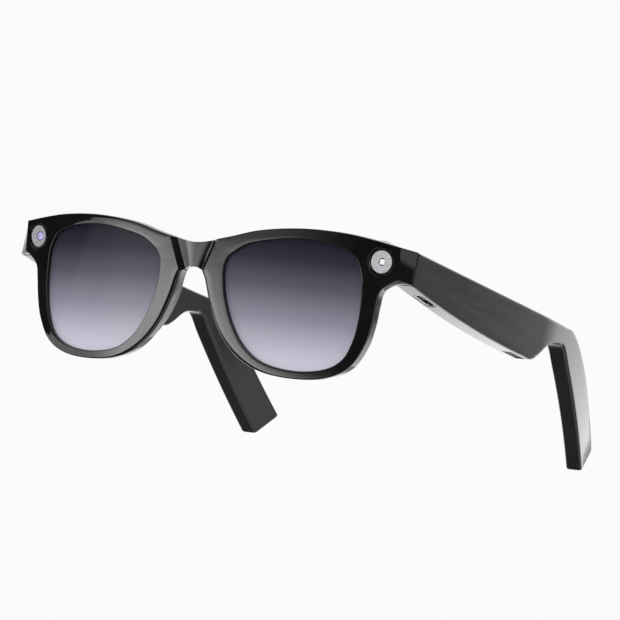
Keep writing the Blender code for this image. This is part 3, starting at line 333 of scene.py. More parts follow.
def front_point(x, z, depth):
    """A point at this depth behind the front's outer surface."""
    back, up = depth * math.cos(FRONT_TILT), depth * math.sin(FRONT_TILT)
    return Vector((x, front_y(x, z) + back, z + up))


def depth_at_seam(x, z):
    return (SEAM_Y - front_y(x, z)) / math.cos(FRONT_TILT)


def opening_controls():
    half_width = LENS_WIDTH / 2
    half_height = LENS_HEIGHT / 2
    return [Vector((LENS_X + u * half_width, LENS_Z + v * half_height)) for u, v in OPENING_SHAPE]


def outline_controls():
    """The outline's point opposite each point of the opening, in x and z."""
    opening = opening_controls()
    half_width = LENS_WIDTH / 2
    bridge_top = BROW_Z - BRIDGE_TOP_DROP
    bridge_bottom = bridge_top - BRIDGE_HEIGHT
    end_top = BROW_Z - END_PIECE_DROP
    outline = {
        0: (0.0, bridge_top),
        BROW_LAST: (CORNER_X - BROW_TURN * END_PIECE_WIDTH, BROW_Z - END_PIECE_DROP / 2),
        END_TOP: (CORNER_X, end_top),
        END_BOTTOM: (CORNER_X, end_top - END_PIECE_HEIGHT),
        BRIDGE_BOTTOM: (0.0, bridge_bottom),
        BRIDGE_MIDDLE: (0.0, (bridge_top + bridge_bottom) / 2),
    }
    for i, (across, up) in BROW_SHAPE.items():
        outline[i] = (LENS_X + across * half_width, lerp(bridge_top, BROW_Z, up))
    for i, (across, drop) in ARCH_SHAPE.items():
        outline[i] = (LENS_GAP * across, bridge_bottom - drop)
    for i, width in RIM_WIDTHS.items():
        along = opening[i + 1] - opening[i - 1]
        outline[i] = opening[i] + outward(along.normalized()) * width
    return [Vector(outline[i]) for i in range(len(opening))]


def mirrored(point):
    return Vector((-point.x, point.y))


def mitre(first, second):
    """The way out of a corner between two edges, long enough to keep both at one distance."""
    return (first + second) / (1 + first.dot(second))


def ribs():
    """For each station: the opening's point and way out, and the outline's point and way out."""
    opening = opening_controls()
    outline = outline_controls()
    inner = smooth_line([*opening, opening[0]], opening[-1], opening[1], RIB_STEPS)
    brow = outline[: END_TOP + 1]
    side = outline[END_BOTTOM : BRIDGE_BOTTOM + 1]
    outer = smooth_line(brow, mirrored(outline[1]), 2 * brow[-1] - brow[-2], RIB_STEPS)
    outer += straight_line([outline[END_TOP], outline[END_BOTTOM]], RIB_STEPS)
    arch_start = 2 * side[0] - side[1]
    outer += smooth_line(side, arch_start, mirrored(outline[BRIDGE_BOTTOM - 1]), RIB_STEPS)
    outs = [outward(edge) for _, edge in outer]
    for corner in (END_TOP * RIB_STEPS, END_BOTTOM * RIB_STEPS):
        outs[corner] = mitre(outs[corner - 1], outs[corner + 1])
    points = [point for point, _ in outer]
    points.append(outline[BRIDGE_BOTTOM])
    outs.append(Vector((0.0, -1.0)))
    low = outline[BRIDGE_BOTTOM].y + OUTER_EDGE
    high = outline[0].y - OUTER_EDGE
    spare = 2 * RIB_STEPS
    for step in range(1, spare):
        points.append(Vector((0.0, lerp(low, high, step / spare))))
        outs.append(Vector((0.0, 0.0)))
    return [(a, outward(along), b, out) for (a, along), b, out in zip(inner, points, outs)]


RIBS = ribs()
MIDDLE = BRIDGE_BOTTOM * RIB_STEPS


def in_end_piece(station):
    return BROW_LAST * RIB_STEPS <= station <= END_LAST * RIB_STEPS


def flare(station):
    """How far the end piece has widened to the temple's outer face, as a share."""
    share = station / RIB_STEPS
    if share <= END_TOP:
        return between((share - BROW_LAST) / (END_TOP - BROW_LAST))
    return between((END_LAST - share) / (END_LAST - END_BOTTOM))


DEEPER = Vector((0.0, math.cos(FRONT_TILT), math.sin(FRONT_TILT)))


def rounded(corner, first, second):
    """Points round an edge, from its first face to its second; both reaches are from the corner."""
    shares = [i / EDGE_STEPS for i in range(EDGE_STEPS + 1)]
    return [corner + first * (1 - share) ** 2 + second * share**2 for share in shares]


def flat(point, depth):
    return front_point(point.x, point.y, depth)


def between(share):
    return max(0.0, min(1.0, share))


def eased(share):
    return share * share * (3 - 2 * share)


def land(inside, outside):
    """How far out of the opening the flat land behind the lens reaches."""
    return min(END_PIECE_EDGE, (SEAT_WIDTH + (outside - inside).length) / 2)


def nose_share(station):
    """The sides of the nose have a wider, softer bevel, which fades out at cheek and arch."""
    place = station / RIB_STEPS
    start, full, fading, gone = NOSE_BEVEL_PLACES
    return eased(between((place - start) / (full - start)) * between((gone - place) / (gone - fading)))


def rib_section(station, at_end_piece):
    """The rim's section at a station, from the opening's front edge round to its back edge."""
    inside, out, outside, edge_out = RIBS[station]
    sculpted = nose_share(station)
    front_edge = lerp(OUTER_EDGE, NOSE_BEVEL, sculpted)
    wall_edge = lerp(OUTER_EDGE, NOSE_BEVEL_BACK, sculpted)
    near, far = inside + out * INNER_EDGE, outside - edge_out * front_edge
    corner = flat(inside, 0.0)
    section = rounded(corner, DEEPER * INNER_EDGE, flat(near, 0.0) - corner)
    section += [flat(lerp(near, far, share), 0.0) for share in (0.33, 0.67)]
    edge = inside + out * land(inside, outside)
    corner = flat(outside, 0.0)
    front_reach = flat(far, 0.0) - corner
    if at_end_piece:
        seam = depth_at_seam(outside.x, outside.y)
        share = flare(station)
        top, bottom = TEMPLE_TOP, TEMPLE_TOP - TEMPLE_FRONT_HEIGHT
        squared = lerp(bottom, top, between(END_BOTTOM - station / RIB_STEPS))
        free = flat(outside, seam)
        height = lerp(free.z, squared, share)
        back_corner = Vector((outside.x + TEMPLE_OVERHANG * share, SEAM_Y, height))
        inner = flat(edge, depth_at_seam(edge.x, edge.y))
        back_reach = (inner - back_corner).normalized() * BACK_EDGE
    else:
        back_corner = flat(outside, FRONT_THICKNESS)
        back_reach = flat(outside - edge_out * BACK_EDGE, FRONT_THICKNESS) - back_corner
        inner = flat(lerp(outside, edge, 0.5), FRONT_THICKNESS)
    wall = (back_corner - corner).normalized()
    section += rounded(corner, front_reach, wall * wall_edge)
    start, end = section[-1], back_corner - wall * BACK_EDGE
    section += [lerp(start, end, i / 4) for i in (1, 2, 3)]
    section += rounded(back_corner, -wall * BACK_EDGE, back_reach)
    section += [inner, flat(edge, FRONT_THICKNESS)]
    seat = inside + out * SEAT_WIDTH
    section += [flat(seat, FRONT_THICKNESS), flat(seat, LIP_THICKNESS), flat(inside, LIP_THICKNESS)]
    return section


def object_from(mesh_data, name, material, tidy=True):
    """An object from mesh data, its faces turned outwards and, when tidied, its doubled points merged
    and slivers dissolved.
    """
    if tidy:
        bmesh.ops.remove_doubles(mesh_data, verts=mesh_data.verts, dist=0.002 * MM)
        bmesh.ops.dissolve_degenerate(mesh_data, edges=mesh_data.edges, dist=0.001 * MM)
    bmesh.ops.recalc_face_normals(mesh_data, faces=mesh_data.faces)
    mesh = bpy.data.meshes.new(name)
    mesh_data.to_mesh(mesh)
    mesh_data.free()
    made = bpy.data.objects.new(name, mesh)
    bpy.context.scene.collection.objects.link(made)
    if material is not None:
        mesh.materials.append(material)
    return made


def half_front(sections, first_outer, last_outer, skip_from):
    """A ring round one lens, left open on the middle plane, then joined to its mirror image."""
    mesh_data = bmesh.new()
    loops = [[mesh_data.verts.new(point) for point in section] for section in sections]
    count = len(loops)
    for i in range(count):
        j = (i + 1) % count
        for k in range(len(loops[i])):
            if first_outer <= k < last_outer and i >= skip_from:
                continue
            m = (k + 1) % len(loops[i])
            mesh_data.faces.new((loops[i][k], loops[j][k], loops[j][m], loops[i][m]))
    loose = [vert for vert in mesh_data.verts if not vert.link_faces]
    bmesh.ops.delete(mesh_data, geom=loose, context="VERTS")
    parts = [*mesh_data.verts, *mesh_data.edges, *mesh_data.faces]
    bmesh.ops.mirror(mesh_data, geom=parts, axis="X", merge_dist=0.02 * MM)
    return mesh_data


def loft(rings, closed_path=False):
    """Rings of equal count joined with quads, and closed at both ends unless the path closes."""
    mesh_data = bmesh.new()
    made = [[mesh_data.verts.new(point) for point in ring] for ring in rings]
    pairs = list(zip(made, made[1:]))
    if closed_path:
        pairs.append((made[-1], made[0]))
    for here, there in pairs:
        for i in range(len(here)):
            j = (i + 1) % len(here)
            mesh_data.faces.new((here[i], here[j], there[j], there[i]))
    if not closed_path:
        mesh_data.faces.new(made[0])
        mesh_data.faces.new(made[-1])
    return mesh_data


def turned(profile, place, sides=48, ring=False):
    """A solid, or a ring, turned about place's Z axis from (radius, height) pairs, bottom to top."""
    angles = [2 * math.pi * i / sides for i in range(sides)]
    rings = [
        [place @ Vector((radius * math.cos(a), radius * math.sin(a), height)) for a in angles]
        for radius, height in profile
    ]
    return loft(rings, closed_path=ring)


def block(low, high):
    """A box between two corners, given in any order along each axis."""
    mesh_data = bmesh.new()
    bmesh.ops.create_cube(mesh_data, size=1.0)
    size = [abs(b - a) for a, b in zip(low, high)]
    middle = [(a + b) / 2 for a, b in zip(low, high)]
    bmesh.ops.scale(mesh_data, vec=size, verts=mesh_data.verts)
    bmesh.ops.translate(mesh_data, vec=middle, verts=mesh_data.verts)
    return mesh_data


def apply_modifiers(piece):
    """Keeps what the modifiers make as the piece's own mesh, and drops them."""
    bpy.context.view_layer.update()
    graph = bpy.context.evaluated_depsgraph_get()
    fresh = bpy.data.meshes.new_from_object(piece.evaluated_get(graph))
    old = piece.data
    piece.modifiers.clear()
    piece.data = fresh
    fresh.name = piece.name
    bpy.data.meshes.remove(old)


def carve(target, tools, operation="DIFFERENCE"):
    """Cuts these solids from the target, or joins them on, and keeps only the result."""
    for mesh_data in tools:
        tool = object_from(mesh_data, "tool", None, tidy=False)
        modifier = target.modifiers.new("carve", "BOOLEAN")
        modifier.operation = operation
        modifier.solver = "EXACT"
        modifier.object = tool
        apply_modifiers(target)
        gone = tool.data
        bpy.data.objects.remove(tool)
        bpy.data.meshes.remove(gone)


def smooth(piece, angle=32.0):
    """Smooth shading led by the large faces, and crisp where two meet at more than this angle."""
    piece.data.shade_smooth()
    piece.data.set_sharp_from_angle(angle=math.radians(angle))
    modifier = piece.modifiers.new("weigh", "WEIGHTED_NORMAL")
    modifier.mode = "FACE_AREA"
    modifier.weight = 100
    modifier.keep_sharp = True
    apply_modifiers(piece)


def front_place(x, z):
    """A placing on the front's surface whose Z axis points out of it."""
    across = Vector((1.0, x / WRAP_RADIUS, 0.0)).normalized()
    up = Vector((0.0, -math.sin(FRONT_TILT), math.cos(FRONT_TILT)))
    out = across.cross(up).normalized()
    place = Matrix((across, out.cross(across), out)).transposed().to_4x4()
    place.translation = front_point(x, z, 0.0)
    return place


SCOOP_HALF_WIDTHS = (5.5 * MM, 8.8 * MM)
SCOOP_BOW = 0.5 * MM
SCOOP_FLOOR_STEPS = 14
# The scoop's side from its lip to its floor: out from its half width, and down
SCOOP_SIDE = [
    (2.05 * MM, -1.6 * MM), (-0.7 * MM, 0.55 * MM), (-1.45 * MM, 1.135 * MM), (-1.6 * MM, 1.23 * MM),
    (-1.8 * MM, 1.32 * MM), (-2.1 * MM, 1.38 * MM),
]
BEZEL_RADIUS = 4.3 * MM
BEZEL_WIDTH = 0.85 * MM
BEZEL_HEIGHT = 1.0 * MM
POCKET_BORE = BEZEL_RADIUS - BEZEL_WIDTH - FIT
POCKET_DEPTH = 2.65 * MM
POCKET_CHAMFER = 0.14 * MM
RECESS_DEPTH = 1.15 * MM
SCREW_RADIUS = 0.5 * MM
SCREW_LENGTH = 1.2 * MM


def middle_of(node_name):
    low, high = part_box(node_name)
    return (low + high) / 2


def screw_hole(place, end, sides):
    """A clearance hole for a hinge screw, to this height above its mouth."""
    return turned([(SCREW_RADIUS + FIT, -OVERRUN), (SCREW_RADIUS + FIT, end)], place, sides)


def bridge_scoop():
    """A channel down the bridge, narrower at the nose, with a floor that bows across."""
    top = BROW_Z - BRIDGE_TOP_DROP
    bottom = top - BRIDGE_HEIGHT
    slope = (SCOOP_HALF_WIDTHS[1] - SCOOP_HALF_WIDTHS[0]) / BRIDGE_HEIGHT
    rings = []
    for z in (bottom - OVERRUN, (top + bottom) / 2, top + OVERRUN):
        half = SCOOP_HALF_WIDTHS[0] + slope * (z - bottom)
        right = [(half + out, depth) for out, depth in SCOOP_SIDE]
        floor_half, floor_depth = right[-1]
        floor = []
        for i in range(1, SCOOP_FLOOR_STEPS):
            across = 1 - 2 * i / SCOOP_FLOOR_STEPS
            floor.append((floor_half * across, floor_depth - SCOOP_BOW * (1 - across * across)))
        left = [(-x, depth) for x, depth in reversed(right)]
        rings.append([front_point(x, z, depth) for x, depth in right + floor + left])
    return loft(rings)


camera_middle = middle_of("camera_bezel")
MODULE_X, MODULE_Z = -camera_middle.x, camera_middle.z


def module_pocket(side):
    """A stepped hole for a module: a chamfered seat for its ring, and a bore behind it."""
    place = front_place(side * MODULE_X, MODULE_Z)
    seat, wide = BEZEL_RADIUS + FIT, BEZEL_RADIUS + FIT + POCKET_CHAMFER
    steps = [(seat, -BEZEL_HEIGHT - FIT), (seat, -POCKET_CHAMFER), (wide, 0.0), (wide, OVERRUN)]
    bore = [(POCKET_BORE, -POCKET_DEPTH), (POCKET_BORE, OVERRUN)]
    return [turned(steps, place), turned(bore, place)]


def hinge_recess(word):
    """The pocket behind the end piece for the hinge's front leaf, and its two screw holes."""
    low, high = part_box(f"front_hinge_leaf_{word}")
    side = 1 if word == "left" else -1
    near, far = sorted((abs(low.x), abs(high.x)))
    floor = SEAM_Y - RECESS_DEPTH
    cutters = [block(
        (side * (near - FIT), floor, low.z - FIT),
        (side * (far + FIT), SEAM_Y + OVERRUN, high.z + FIT),
    )]
    turn = Matrix.Rotation(math.pi / 2, 4, "X")
    for number in (1, 2):
        middle = middle_of(f"front_leaf_screw_{word}_{number}")
        place = Matrix.Translation((middle.x, floor, middle.z)) @ turn
        cutters.append(screw_hole(place, SCREW_LENGTH, 24))
    return cutters


def principled(name, colour, roughness, **values):
    """A material with one Principled shader; returns it with its node tree and shader."""
    made = bpy.data.materials.new(name)
    made.use_nodes = True
    shader = made.node_tree.nodes["Principled BSDF"]
    shader.inputs["Base Color"].default_value = (*colour, 1.0)
    shader.inputs["Roughness"].default_value = roughness
    for key, value in values.items():
        shader.inputs[key.replace("_", " ")].default_value = value
    return made, made.node_tree, shader


def object_noise(tree, scale, detail=4.0, stretch=(1.0, 1.0, 1.0)):
    place = node(tree, "ShaderNodeTexCoord").outputs["Object"]
    spot = node(tree, "ShaderNodeMapping", Vector=place, Scale=stretch).outputs[0]
    return node(tree, "ShaderNodeTexNoise", Vector=spot, Scale=scale, Detail=detail).outputs["Fac"]


def colour_stops(tree, fac, stops):
    """The colour at fac between stops of (position, colour)."""
    ramp = node(tree, "ShaderNodeValToRGB", _0=fac)
    elements = ramp.color_ramp.elements
    while len(elements) < len(stops):
        elements.new(0.5)
    for element, (position, colour) in zip(elements, stops):
        element.position = position
        element.color = (*colour, 1.0)
    return ramp.outputs[0]


def tint(tree, shader, fac, dark, light):
    """Varies the shader's colour from dark to light over the middle of the noise."""
    plug(tree, shader.inputs["Base Color"], colour_stops(tree, fac, [(0.35, dark), (0.65, light)]))


def bump(tree, shader, height, strength, distance):
    made = node(tree, "ShaderNodeBump", Height=height, Strength=strength, Distance=distance)
    plug(tree, shader.inputs["Normal"], made.outputs[0])


def vary_roughness(tree, shader, fac, low, high):
    made = node(
        tree, "ShaderNodeMapRange", Value=fac, From_Min=0.3, From_Max=0.7, To_Min=low, To_Max=high
    )
    plug(tree, shader.inputs["Roughness"], made.outputs[0])


def gloss_black_nylon():
    """Polished black nylon: faint flow marks, wiped-off haze and the polish's finest ripple."""
    made, tree, shader = principled("gloss_black_nylon", (0.008, 0.008, 0.009), 0.06, IOR=1.52)
    haze = object_noise(tree, 90.0, 3.0)
    tint(tree, shader, haze, (0.0065, 0.0065, 0.007), (0.0105, 0.0105, 0.011))
    vary_roughness(tree, shader, object_noise(tree, 320.0), 0.015, 0.035)
    bump(tree, shader, object_noise(tree, 1400.0, 2.0), 0.05, 0.02 * MM)
    return made


GLOSS_BLACK = gloss_black_nylon()


def front_moulding():
    sections = []
    first, last = BROW_LAST * RIB_STEPS, END_LAST * RIB_STEPS
    for station in range(len(RIBS)):
        kinds = [in_end_piece(station)]
        if station == first:
            kinds = [False, True]
        elif station == last:
            kinds = [True, False]
        sections += [rib_section(station, at_end_piece) for at_end_piece in kinds]
    first_outer = EDGE_STEPS + 3
    last_outer = first_outer + 2 * EDGE_STEPS + 4
    mesh_data = half_front(sections, first_outer, last_outer, MIDDLE + 2)
    front = object_from(mesh_data, "front_moulding", GLOSS_BLACK)
    carve(front, [bridge_scoop(), *module_pocket(1), *module_pocket(-1)])
    carve(front, hinge_recess("left") + hinge_recess("right"))
    smooth(front)
    return front


front = front_moulding()
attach(front, "front")
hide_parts("front_frame")


# Rear cover. A second, satin black moulding snaps on behind the rims and keeps the lenses in.
# Both nose pads are moulded in one with it, as low, smooth swellings beside the arch.

COVER_THICKNESS = 1.2 * MM
COVER_INSET = 0.7 * MM
COVER_CHAMFER = 0.6 * MM
COVER_HOLE_INSET = 0.4 * MM
COVER_EDGE = 0.25 * MM
COVER_FRONT = FRONT_THICKNESS + FIT
NOSE_PAD_RISE = 1.4 * MM
NOSE_PAD_SPREAD = 0.6 * MM
NOSE_PAD_STATIONS = (15.6, 18.0, 20.6)


def pad_share(station):
    """How much of the nose pad's rise is there at this station."""
    low, crest, high = NOSE_PAD_STATIONS
    place = station / RIB_STEPS
    edge = low if place < crest else high
    return eased(1 - min(1.0, abs((place - crest) / (edge - crest))))


def cover_section(station):
    """The cover's section at a station, from the lens side's front round to its back."""
    inside, out, outside, edge_out = RIBS[station]
    hole = inside + out * COVER_HOLE_INSET
    back = COVER_FRONT + COVER_THICKNESS
    pad = pad_share(station)
    if in_end_piece(station - 1) or in_end_piece(station + 1):
        edge = inside + out * (land(inside, outside) - 2 * FIT)
        far = edge
    elif station > MIDDLE:
        edge, far = outside, outside
    else:
        edge = outside - edge_out * COVER_INSET
        far = outside - edge_out * (COVER_INSET + COVER_CHAMFER - NOSE_PAD_SPREAD * pad)
    front_low, front_far = flat(hole, COVER_FRONT), flat(edge, COVER_FRONT)
    back_far, back_near = flat(far, back + NOSE_PAD_RISE * pad), flat(hole, back)
    if station > MIDDLE:
        back_ring = [back_far] * (EDGE_STEPS + 1)
    else:
        wall = (front_far - back_far).normalized() * COVER_EDGE
        across = (back_near - back_far).normalized() * COVER_EDGE * (1 + 1.6 * pad)
        back_ring = rounded(back_far, wall * (1 + 1.6 * pad), across)
    wall = (front_low - back_near).normalized() * COVER_EDGE
    across = (back_far - back_near).normalized() * COVER_EDGE
    bulge = DEEPER * 0.25 * NOSE_PAD_RISE * pad
    middle = [lerp(back_far, back_near, share) + bulge for share in (0.35, 0.65)]
    return [front_low, front_far, *back_ring, *middle, *rounded(back_near, across, wall)]


def satin_black_nylon():
    """Fine spark-eroded satin: a close, even grain with slightly shinier high spots."""
    made, tree, shader = principled("satin_black_nylon", (0.014, 0.014, 0.015), 0.34, IOR=1.5)
    grain = object_noise(tree, 5200.0, 2.0)
    tint(tree, shader, grain, (0.011, 0.011, 0.012), (0.019, 0.019, 0.02))
    vary_roughness(tree, shader, object_noise(tree, 400.0), 0.26, 0.36)
    bump(tree, shader, grain, 0.18, 0.02 * MM)
    return made


SATIN_BLACK = satin_black_nylon()


def rear_cover():
    sections = [cover_section(station) for station in range(len(RIBS))]
    shell = half_front(sections, 1, EDGE_STEPS + 2, MIDDLE)
    made = object_from(shell, "rear_cover_moulding", SATIN_BLACK)
    smooth(made, 40.0)
    return made


cover = rear_cover()
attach(cover, "front")
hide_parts("rear_cover")


# Lenses. Two injection-moulded sheets follow the front's wrap, dyed from nearly black at the brow
# to pale lavender at the cheek, hard-coated, with a fine ground bevel where they meet the lip.
# The dye is also painted on as a glow, a painted backlight for the light that comes through.

LENS_THICKNESS = 1.5 * MM
LENS_BEVEL = 0.15 * MM
LENS_STOPS = [
    (0.00, (0.665, 0.650, 0.745)),
    (0.16, (0.495, 0.485, 0.565)),
    (0.42, (0.228, 0.222, 0.275)),
    (0.66, (0.083, 0.080, 0.104)),
    (0.86, (0.025, 0.0235, 0.036)),
    (1.00, (0.0135, 0.0125, 0.021)),
]
LENS_PAINTED_BACKLIGHT = 0.38


def lens_rings(spread, depth, shares):
    centre = Vector((LENS_X, LENS_Z))
    rings = []
    for share in shares:
        outline = [lerp(centre, inside + out * spread, share) for inside, out, _, _ in RIBS]
        rings.append([flat(point, depth) for point in outline])
    return rings


def lens(side, name):
    full = SEAT_WIDTH - FIT
    front_depth = LIP_THICKNESS + FIT
    inner = (0.02, 0.2, 0.4, 0.6, 0.8)
    rings = lens_rings(full, front_depth, inner)
    rings += lens_rings(full - LENS_BEVEL, front_depth, (1.0,))
    rings += lens_rings(full, front_depth + LENS_BEVEL, (1.0,))
    rings += lens_rings(full, front_depth + LENS_THICKNESS - LENS_BEVEL, (1.0,))
    rings += lens_rings(full - LENS_BEVEL, front_depth + LENS_THICKNESS, (1.0,))
    rings += lens_rings(full, front_depth + LENS_THICKNESS, inner[::-1])
    for ring in rings:
        for point in ring:
            point.x *= side
    made = object_from(loft(rings), name, GRADIENT_TINT)
    smooth(made, 25.0)
    return made


def gradient_tint():
    """A dye that fades down the lens, under a hard coat, with a slight cloud in the dye; the same
    colour is painted on as a glow, standing in for light from behind.
    """
    made, tree, shader = principled(
        "gradient_tint", (0.2, 0.2, 0.24), 0.04, IOR=1.5, Specular_IOR_Level=0.05
    )
    place = node(tree, "ShaderNodeTexCoord").outputs["Object"]
    height = node(tree, "ShaderNodeSeparateXYZ", Vector=place).outputs["Z"]
    cloud = product(tree, object_noise(tree, 45.0, 2.0), 0.02)
    level = maths(tree, "ADD", maths(tree, "DIVIDE", height, LENS_TOP + FIT), cloud)
    dye = colour_stops(tree, level, LENS_STOPS)
    # The dye also glows: a painted backlight, standing in for the light behind the lens that would show
    # through it
    for name in ("Base Color", "Emission Color"):
        plug(tree, shader.inputs[name], dye)
    shader.inputs["Emission Strength"].default_value = LENS_PAINTED_BACKLIGHT
    bump(tree, shader, object_noise(tree, 60.0, 1.0), 0.02, 0.02 * MM)
    return made


GRADIENT_TINT = gradient_tint()
for side, word in ((1, "left"), (-1, "right")):
    made = lens(side, f"{word}_tinted_lens")
    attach(made, "front")
    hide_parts(f"lens_{word}")


# Camera. It sits in the wearer's right end piece: a gloss black ring, a clear cover, and under it
# a silver-grey stepped cone that leads down to a small coated lens, its violet sheen a painted glint.

DISC_RADIUS = 3.48 * MM
COVER_GAP = 0.02 * MM
CROWN = 0.42 * MM
CROWN_INSIDE = 0.06 * MM
# Each step of the cone: its radius and its height, from under the cover to the opening
CONE_STEPS = [
    (3.46 * MM, -0.14 * MM), (3.15 * MM, -0.16 * MM), (3.0 * MM, -0.25 * MM), (2.45 * MM, -0.32 * MM),
    (2.3 * MM, -0.48 * MM), (1.85 * MM, -0.58 * MM), (1.62 * MM, -0.85 * MM),
]
CONE_WALL = 0.2 * MM
CAMERA_LENS_RADIUS = 1.6 * MM
CAMERA_LENS_TOP = -0.75 * MM
CAMERA_LENS_DOME = 0.34 * MM
BARREL = [(2.2 * MM, -1.85 * MM), (2.2 * MM, -1.3 * MM), (1.75 * MM, -1.25 * MM)]
CAMERA_SEAT = front_place(-MODULE_X, MODULE_Z)
QUARTER = [math.pi / 2 * i / 6 for i in range(7)]
RING_SIDES = 96


def module_piece(mesh_data, name, material, node_names):
    made = object_from(mesh_data, name, material)
    smooth(made, 30.0)
    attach(made, "front")
    if node_names:
        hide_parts(*node_names)


def module_ring(place, name, node_name):
    """A ring with a rounded crown that leans in to the cover, and a shadow gap outside."""
    far, near = BEZEL_RADIUS, DISC_RADIUS + COVER_GAP
    crown = [(far - CROWN * (1 - math.cos(a)), -CROWN * (1 - math.sin(a))) for a in QUARTER]
    inner = [
        (near + CROWN_INSIDE * (1 - math.sin(a)), -CROWN_INSIDE * (1 - math.cos(a))) for a in QUARTER
    ]
    profile = [(near, -BEZEL_HEIGHT), (far, -BEZEL_HEIGHT), *crown, *inner]
    ring = turned(profile, place, RING_SIDES, ring=True)
    module_piece(ring, name, GLOSS_BLACK, [node_name])


def cover_glass():
    """A thin hard cover: clear straight on, and a soft mirror at a slant, with a faint smear."""
    made = bpy.data.materials.new("cover_glass")
    made.use_nodes = True
    tree = made.node_tree
    tree.nodes.clear()
    smear = product(tree, object_noise(tree, 700.0), 0.08)
    mirror = node(tree, "ShaderNodeBsdfGlossy", Color=(1, 1, 1, 1), Roughness=smear)
    clear = node(tree, "ShaderNodeBsdfTransparent", Color=(0.97, 0.97, 0.98, 1))
    facing = node(tree, "ShaderNodeLayerWeight", Blend=0.5).outputs["Facing"]
    facing = maths(tree, "ADD", product(tree, maths(tree, "POWER", facing, 5.0), 0.96), 0.04)
    mix = node(tree, "ShaderNodeMixShader", _0=facing, _1=clear.outputs[0], _2=mirror.outputs[0])
    node(tree, "ShaderNodeOutputMaterial", Surface=mix.outputs[0])
    return made


def distance_from(tree, centre):
    spot = node(tree, "ShaderNodeTexCoord").outputs["Object"]
    made = node(tree, "ShaderNodeVectorMath", _0=spot, _1=centre)
    made.operation = "DISTANCE"
    return made.outputs["Value"]


def ringed_silver(name, level, place, pitch):
    """Blasted aluminium, turned: fine rings about the module's own middle, a slight mottle, and a faint
    painted white glow that brightens it in its recess.
    """
    made, tree, shader = principled(name, (level, level, level), 0.42)
    reach = distance_from(tree, place.translation)
    wave = maths(tree, "SINE", product(tree, reach, 2 * math.pi / pitch))
    mottle = object_noise(tree, 2600.0, 3.0)
    fac = maths(tree, "ADD", product(tree, wave, 0.10), mottle)
    low, high = level * 0.86, min(1.0, level * 1.12)
    tint(tree, shader, fac, (low, low, low), (high, high, high * 1.01))
    # Painted glow: a faint white emission that stands in for light scattered into the recess
    shader.inputs["Emission Color"].default_value = (1.0, 1.0, 1.0, 1.0)
    shader.inputs["Emission Strength"].default_value = 0.05
    bump(tree, shader, fac, 0.2, 0.01 * MM)
    return made


def painted_lens_glint(place, radius):
    """A painted glint: nearly black in the middle, then painted rings of violet, blue and white that
    glow, standing in for the coated lens's reflection.
    """
    made, tree, shader = principled("painted_lens_glint", (0.1, 0.07, 0.2), 0.08, IOR=1.6)
    share = maths(tree, "DIVIDE", distance_from(tree, place.translation), radius)
    wobble = product(tree, maths(tree, "SUBTRACT", object_noise(tree, 900.0, 2.0), 0.5), 0.35)
    painted_glint = colour_stops(tree, maths(tree, "ADD", share, wobble), [
        (0.0, (0.03, 0.02, 0.08)), (0.14, (0.22, 0.12, 0.42)), (0.3, (0.80, 0.72, 1.0)),
        (0.55, (0.58, 0.62, 1.0)), (0.78, (0.38, 0.26, 0.66)), (1.0, (0.24, 0.24, 0.28)),
    ])
    for name in ("Base Color", "Emission Color"):
        plug(tree, shader.inputs[name], painted_glint)
    # The painted glint glows as well, to brighten it like a reflection
    shader.inputs["Emission Strength"].default_value = 0.25
    return made


COVER_GLASS = cover_glass()


def module_cover(place, name, node_name):
    profile = [
        (DISC_RADIUS - 0.02 * MM, -0.12 * MM), (DISC_RADIUS, -0.10 * MM),
        (DISC_RADIUS, -0.05 * MM), (DISC_RADIUS - 0.03 * MM, -0.02 * MM),
    ]
    module_piece(turned(profile, place, RING_SIDES), name, COVER_GLASS, [node_name])


def stepped_cone(place, name, steps, material):
    """A stepped funnel from under the cover down to its middle opening, with a plain back."""
    floor = steps[-1][1] - CONE_WALL
    back = [(steps[-1][0], floor), (steps[0][0], floor)]
    module_piece(turned(steps + back, place, RING_SIDES, ring=True), name, material, ())


def camera_lens():
    """The barrel's front: a low dome in a narrow black lip."""
    top, reach = CAMERA_LENS_TOP, CAMERA_LENS_RADIUS
    dome = [(reach * math.sin(a), top - CAMERA_LENS_DOME * (1 - math.cos(a))) for a in QUARTER[:0:-1]]
    barrel = turned([*BARREL, *dome, (0.02 * MM, top)], CAMERA_SEAT, RING_SIDES)
    painted_glint = painted_lens_glint(CAMERA_SEAT @ Matrix.Translation((0, 0, top)), reach)
    module_piece(barrel, "camera_lens", painted_glint, ["camera_barrel"])


module_ring(CAMERA_SEAT, "camera_ring", "camera_bezel")
module_cover(CAMERA_SEAT, "camera_cover", "camera_window")
silver = ringed_silver("camera_silver", 0.52, CAMERA_SEAT, 0.5 * MM)
stepped_cone(CAMERA_SEAT, "camera_cone", CONE_STEPS, silver)
camera_lens()


# Light. Its twin on the wearer's left: the same ring and cover over a pale, finely ringed
# diffuser, with a square cream phosphor chip showing in the middle.

LIGHT_STEPS = [
    (3.46 * MM, -0.14 * MM), (3.1 * MM, -0.16 * MM), (3.0 * MM, -0.22 * MM), (1.9 * MM, -0.26 * MM),
    (1.75 * MM, -0.36 * MM), (1.2 * MM, -0.5 * MM),
]
CHIP_HALF = Vector((0.8 * MM, 0.8 * MM, 0.45 * MM))
CHIP_EDGE = 0.2 * MM
CHIP_DEPTH = 0.85 * MM
LIGHT_SEAT = front_place(MODULE_X, MODULE_Z)


